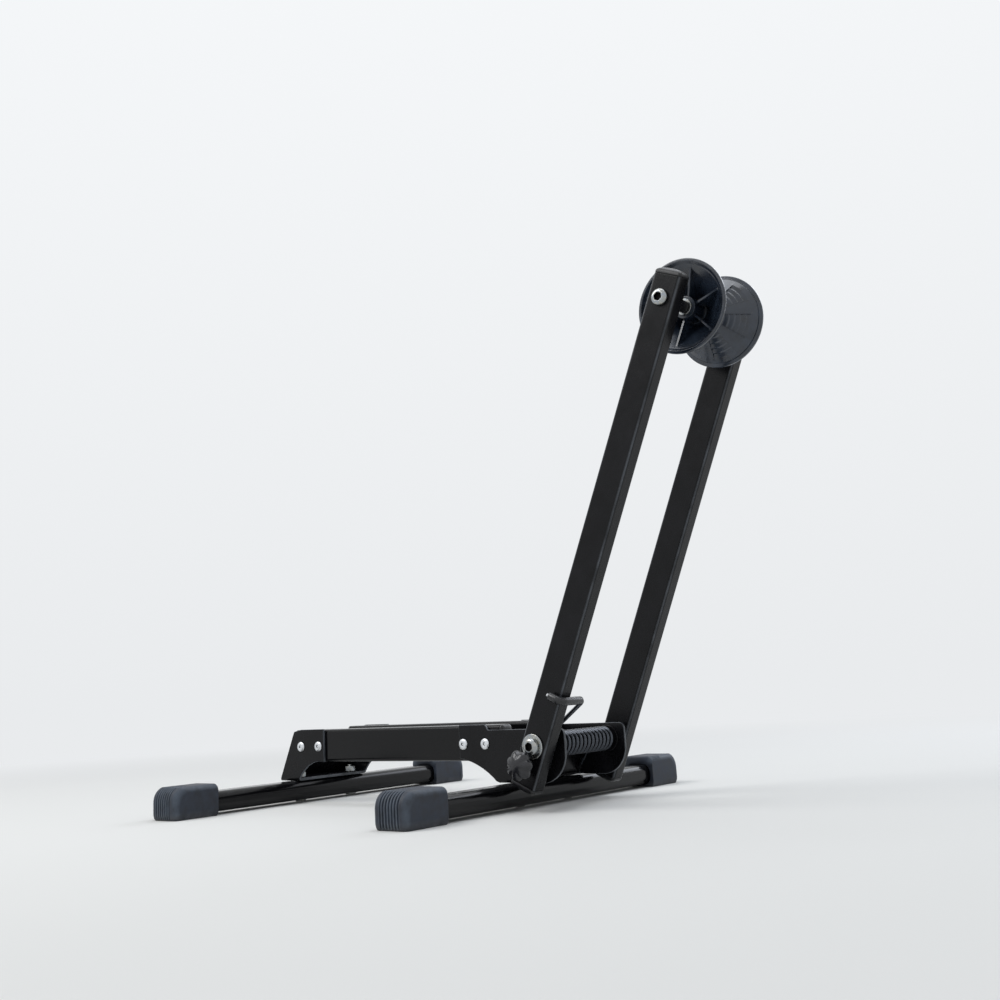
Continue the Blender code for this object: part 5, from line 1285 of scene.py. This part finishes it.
# Plasticised PVC, extruded: a soft black that is wiped glossier where the hand takes it.
WIPED_PATCH = 0.003
soft_pvc = clouded("soft_black_pvc", WIPED_PATCH, 4.0, "#141416", "#26272a", 0.2, 0.34, IOR=1.53)

x, y, z = hook_line()
bends = [(x, COIL_NEAR - HOOK_BEND, z, 0), (x, y, z, HOOK_BEND), (HOOK_TIP + BARE_TIP, y, z, 0)]
shape = pipe_shape(softened(bends, steps=14), SLEEVE_BORE, SLEEVE_BORE + SLEEVE_WALL)
ringed("spring_hook_tube", shape, PIVOT, ARM_AXES, soft_pvc,
       rides="arms", replaces="spring_hook_sleeve", slot="black_plastic", loop=True)


# Rollers
# Two hollow cones, injection-moulded in glass-filled nylon, that make a V for the tyre. The face has
# stepped rings between six plain wedges with a raised line on each side, and six thin ribs stiffen
# the open back. Each roller spins on the axle bolt and stopped where the photograph shows it.
ROLLER_RADIUS = 0.0399
RIM_Y = 0.0333
RIM_BAND = 0.0028
LIP = 0.0024
RIM_ROUND = 0.0009
FACE_END = 0.0362
FACE_STEP = 0.0009
BACK_EDGE = 0.0352
FLOOR_EDGE = 0.0345
HUB_RADIUS = 0.0095
HUB_BACK = 0.0282
HUB_FILLET = 0.0012
NECK = 0.006
SHELL = 0.0024
RIBS = 6
STOPPED_AT = {"near": math.radians(23), "far": math.radians(32)}
RIB_THICKNESS = 0.0018
RIB_RECESS = 0.003
STEPS = 5
STEP_DEPTH = 0.0012
PLAIN_INSIDE = 0.005
PLAIN_OUTSIDE = 0.0045
DIVIDER_ANGLE = math.radians(11.5)
LINE_WIDTH = 0.0006
LINE_HEIGHT = 0.00035
FLANK = 0.00018
HUB_BORE = 0.0063


def face_y(radius):
    """Distance of the plain cone face from the stand's middle at a radius."""
    rim = ROLLER_RADIUS - RIM_BAND
    return NECK + (radius - HUB_RADIUS) / (rim - HUB_RADIUS) * (RIM_Y - RIM_BAND - NECK)


def roller_shape(start):
    """Rows of a roller about Y, from the bore's front round the face, the rim, the hollow back and the
    hub to the bore again. A column's place in its sector, from -1 to 1, becomes an angle by straight
    lines between knots: on the face two knots hold the sides of the raised line beside a plain
    divider, and in the back they hold the sides of a rib. The same knots give the heights: saw-tooth
    rings only between the lines, and a rib that lifts the hollow's floor to its own top."""
    slope = math.atan2(ROLLER_RADIUS - RIM_BAND - HUB_RADIUS, RIM_Y - RIM_BAND - NECK)
    behind = SHELL / math.sin(slope)
    first, last = HUB_RADIUS + PLAIN_INSIDE, ROLLER_RADIUS - RIM_BAND - PLAIN_OUTSIDE
    inner, outer = first - 0.0008, last + 0.0007
    front = softened([
        (SEAT, HUB_BORE, 0), (SEAT, HUB_RADIUS, 0.0006),
        (NECK, HUB_RADIUS, 0.0012), (face_y(inner), inner, 0),
    ], steps=6, margin=0.0002)[:-1]
    share = np.array([0.0, 0.03, 0.10, 0.14, 0.25, 0.4, 0.6, 0.8, 0.95])
    radii = first + (last - first) * ((np.arange(STEPS)[:, None] + share) / STEPS).ravel()
    radii = np.r_[inner, first - 0.0004, radii, last, last + 0.0003, outer]
    drop = np.tile(np.interp(share, [0, 0.03, 0.10, 0.14, 1], [0, 0.1, 0.9, 1, 0]), STEPS)
    drop = np.r_[0, 0, drop, 0, 0, 0][:, None]
    stepped = np.stack([face_y(radii), radii], -1)
    lip_y = RIM_Y + LIP * 0.4
    rim = softened([
        (face_y(outer), outer, 0), (face_y(FACE_END), FACE_END, 0.0006),
        (face_y(FACE_END) + FACE_STEP, FACE_END + 0.0004, 0.0004),
        (face_y(FACE_END + 0.001), FACE_END + 0.0013, 0.0005), (RIM_Y - 0.0017, ROLLER_RADIUS, RIM_ROUND),
        (lip_y, ROLLER_RADIUS, RIM_ROUND), (lip_y, ROLLER_RADIUS - LIP, RIM_ROUND),
        (face_y(BACK_EDGE) + behind, BACK_EDGE + 0.0002, 0.0008),
        (face_y(FLOOR_EDGE) + behind, FLOOR_EDGE, 0),
    ], steps=6, margin=0.0001)[1:]
    back_radii = np.linspace(FLOOR_EDGE - 0.0003, HUB_RADIUS + HUB_FILLET, 30)
    floor = np.stack([face_y(back_radii) + behind, back_radii], -1)
    hub = softened([
        (face_y(HUB_RADIUS) + behind + HUB_FILLET, HUB_RADIUS, 0), (HUB_BACK, HUB_RADIUS, 0.0005),
        (HUB_BACK, HUB_BORE, 0.0004), (SEAT, HUB_BORE, 0),
    ], steps=5, margin=0.0002)
    parts = front, stepped, rim, floor, hub
    after_front, after_steps, after_rim, after_floor, count = np.cumsum([len(part) for part in parts])
    along, radius = np.concatenate(parts).T[..., None]
    half = np.r_[0, 0.1, 0.2, 0.3, 0.34, 0.38, 0.42, 0.46, np.linspace(0.46, 1, 13)[1:]]
    spot = np.tile(np.r_[-half[:0:-1], half[:-1]], RIBS)
    knots = [0, 0.3, 0.34, 0.42, 0.46, 1]
    weight = np.array([np.interp(np.abs(spot), knots, row) for row in np.eye(len(knots))])
    line, rib = LINE_WIDTH / 2, RIB_THICKNESS / 2
    beside = [-(line + FLANK), -line, line, line + FLANK]
    cheeks = [rib - 0.0003, rib - 0.0001, rib + 0.0001, rib + 0.0004]
    middle, sector = 0 * radius, math.pi / RIBS + 0 * radius
    on_face = np.hstack([middle, DIVIDER_ANGLE + beside / radius, sector])
    in_back = np.hstack([middle, cheeks / radius, sector])
    turned_over = np.interp(np.arange(count), [after_steps, after_rim], [0, 1])[:, None]
    offset = ((1 - turned_over) * on_face + turned_over * in_back) @ weight
    sectors = start + 2 * math.pi * np.repeat(np.arange(RIBS), len(spot) // RIBS) / RIBS
    turn = sectors + np.sign(spot) * offset
    along = along + 0 * turn
    face = slice(after_front, after_steps)
    shown = smooth(radius[face], inner, first) * (1 - smooth(radius[face], last, outer))
    along[face] += STEP_DEPTH * drop * (weight[4] + weight[5])
    along[face] -= LINE_HEIGHT * shown * (weight[2] + weight[3])
    root_y, tip_y = HUB_BACK - RIB_RECESS, RIM_Y - RIB_RECESS
    tip_radius = ROLLER_RADIUS - RIM_BAND - RIB_RECESS
    rib_top = root_y + (radius - HUB_RADIUS) / (tip_radius - HUB_RADIUS) * (tip_y - root_y)
    lift = np.maximum(np.minimum(rib_top, tip_y) - along, 0) * (weight[0] + weight[1] + weight[2])
    back = slice(after_rim, after_floor + 1)
    along[back] += lift[back]
    return np.stack([radius * np.cos(turn), along, radius * np.sin(turn)], -1)


# Glass-filled nylon, moulded with a semi-gloss: slate black, faint flow lines out from the hub, and a
# dull band where tyres rub. The flow lines are really 0.3 mm apart and drawn at 1 mm.
FLOW_LINE = 0.001
RUB_BAND = 0.012
moulded_nylon, tree, shader, place = new_finish("semi_gloss_black_nylon", IOR=1.53, Specular_IOR_Level=0.65)
flow = add(tree, "TexNoise", {"Vector": place, "Scale": 1 / FLOW_LINE, "Detail": 3.0})
rub = add(tree, "TexNoise", {"Vector": place, "Scale": 1 / RUB_BAND, "Detail": 4.0})
shade = add(tree, "MapRange", {0: rub, 1: 0.3, 2: 0.7})
tint = add(tree, "Mix", {0: shade, 6: "#1a202a", 7: "#2b3543"}, **COLOUR_MIX)
dull = add(tree, "MapRange", {0: rub, 1: 0.3, 2: 0.7, 3: 0.16, 4: 0.26})
lines = add(tree, "Bump", {"Height": flow, "Strength": 0.2, "Distance": 0.0001})
feed(tree, shader, {"Base Color": tint, "Roughness": dull, "Normal": lines})

for side, sign in SIDES.items():
    shape = roller_shape(STOPPED_AT[side]) * [sign, sign, 1]
    ringed(f"cone_roller_{side}", shape, AXLE, ARM_AXES, moulded_nylon,
           rides=f"roller_{side}", replaces=f"roller_{side}", slot="roller_plastic", loop=True)


# Roller bushes
# A turned steel bush is pressed into each roller's hub and runs on the axle bolt. Only its end shows,
# bright and finely marked by the lathe's tool.
BUSH_RADIUS = 0.00585
TOOL_MARK = 0.0006
turned_steel = clouded("turned_bright_steel", TOOL_MARK, 3.0, "#9fa1a4", "#c4c5c7", 0.22, 0.34, Metallic=1.0)
for side in SIDES:
    low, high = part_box(f"roller_bush_{side}")
    ring_piece(f"hub_bush_{side}", AXLE, ARM_AXES, BORE, BUSH_RADIUS, STEEL_EDGE, 64, (low.y, high.y),
               turned_steel, rides=f"roller_{side}", replaces=f"roller_bush_{side}", slot="bright_zinc")


# Floor and backdrop
# A pale studio floor that runs on without a corner into an even, pale backdrop. The floor keeps the
# stand's shadow, and far from the stand what is seen of it is the backdrop's own colour.
FLOOR_REACH = 30.0
FADE_FROM = 0.45
FADE_TO = 1.7
HORIZON = "#e9ebed"


def seen_directly(tree):
    """Share that is 1 for rays from the camera or a reflection or through something clear, 0 for light."""
    path = tree.nodes.new("ShaderNodeLightPath").outputs
    either = add(tree, "Math", {0: path["Is Camera Ray"], 1: path["Is Glossy Ray"]}, operation="ADD")
    clear = {0: either, 1: path["Is Transmission Ray"]}
    return add(tree, "Math", clear, operation="ADD", use_clamp=True)


pale, tree, shader, place = new_finish("pale_studio_floor", IOR=1.45, Roughness=0.8, Specular_IOR_Level=0.2)
patch = add(tree, "TexNoise", {"Vector": place, "Scale": 1.5, "Detail": 2.0})
tint = add(tree, "Mix", {0: patch, 6: "#e6e6e3", 7: "#ebebe8"}, **COLOUR_MIX)
feed(tree, shader, {"Base Color": tint})
away = add(tree, "VectorMath", {0: place}, out="Value", operation="LENGTH")
distance = {0: away, 1: FADE_FROM, 2: FADE_TO}
fade = add(tree, "MapRange", distance, interpolation_type="SMOOTHSTEP")
fade = add(tree, "Math", {0: fade, 1: seen_directly(tree)}, operation="MULTIPLY")
glow = add(tree, "Emission", {"Color": HORIZON, "Strength": 1.0})
both = add(tree, "MixShader", {0: fade, 1: shader.outputs[0], 2: glow})
feed(tree, tree.nodes["Material Output"], {"Surface": both})
corners = np.array([(-1, -1, 0), (1, -1, 0), (1, 1, 0), (-1, 1, 0)]) * FLOOR_REACH
floor = shape_object("studio_floor", corners, [[0, 1, 2, 3]], pale)

world = bpy.data.worlds.new("studio")
bpy.context.scene.world = world
world.use_nodes = True
tree = world.node_tree
level = add(tree, "SeparateXYZ", {0: add(tree, "TexCoord", {}, out="Generated")}, out="Z")
height = add(tree, "MapRange", {0: level, 1: 0.0, 2: 0.6})
seen = add(tree, "Mix", {0: height, 6: HORIZON, 7: "#f6f8fa"}, **COLOUR_MIX)
backdrop = add(tree, "Background", {"Color": seen, "Strength": 1.0})
room = tree.nodes["Background"]
feed(tree, room, {"Color": "#eef1f5", "Strength": 0.40})
both = add(tree, "MixShader", {0: seen_directly(tree), 1: room.outputs[0], 2: backdrop})
feed(tree, tree.nodes["World Output"], {"Surface": both})


# Lamps
# A large softbox high on the left gives the form, one overhead lights the tops, and one low behind the
# stand draws its edges.
def put(made, spot, right, up, back):
    """Stand an object at a spot with its three directions, and link it to the scene."""
    placed = np.eye(4)
    placed[:3] = np.stack([right, up, back, spot], -1)
    made.matrix_world = Matrix(placed.tolist())
    bpy.context.scene.collection.objects.link(made)


def softbox(name, spot, target, size, power, colour):
    """Square area lamp at a spot, turned so that it faces its target."""
    data = bpy.data.lights.new(name, "AREA")
    data.shape = "SQUARE"
    data.size = size
    data.energy = power
    data.color = linear(colour)[:3]
    away = np.subtract(spot, target)
    away /= np.linalg.norm(away)
    right = np.cross((0, 0, 1), away)
    right /= np.linalg.norm(right)
    put(bpy.data.objects.new(name, data), spot, right, np.cross(away, right), away)


softbox("softbox_key", (-0.9, -1.2, 1.7), (0, 0, 0.15), 1.2, 20, "#ffffff")
softbox("softbox_top", (0.2, 0.3, 2.1), (0, 0, 0.15), 1.5, 16, "#f4f8ff")
softbox("softbox_back", (0.3, 1.7, 1.0), (0, 0, 0.2), 0.9, 8, "#eef4ff")


# Camera
# Low beside the near rear corner, looking up along the stand as in the photograph.
CAMERA_SPOT = (0.670188, -0.871882, 0.099831)
AZIMUTH, PITCH, ROLL = np.radians([39.357, 12.681, -3.03])
CAMERA_SENSOR = 36.0
CAMERA_FOCAL = 1.195
lens = bpy.data.cameras.new("camera")
lens.sensor_width = CAMERA_SENSOR
lens.lens = CAMERA_FOCAL * CAMERA_SENSOR
lens.shift_x = 0.04
lens.shift_y = -0.08
lens.clip_start = 0.01
camera = bpy.data.objects.new("camera", lens)
level = np.array([math.cos(AZIMUTH), math.sin(AZIMUTH), 0.0])
forward = np.array([-math.sin(AZIMUTH), math.cos(AZIMUTH), 0.0])
ahead = forward * math.cos(PITCH) + [0, 0, math.sin(PITCH)]
above = np.cross(level, ahead)
right = math.cos(ROLL) * level + math.sin(ROLL) * above
up = -math.sin(ROLL) * level + math.cos(ROLL) * above
put(camera, CAMERA_SPOT, right, up, -ahead)
bpy.context.scene.camera = camera
bpy.context.scene.view_settings.view_transform = "Standard"
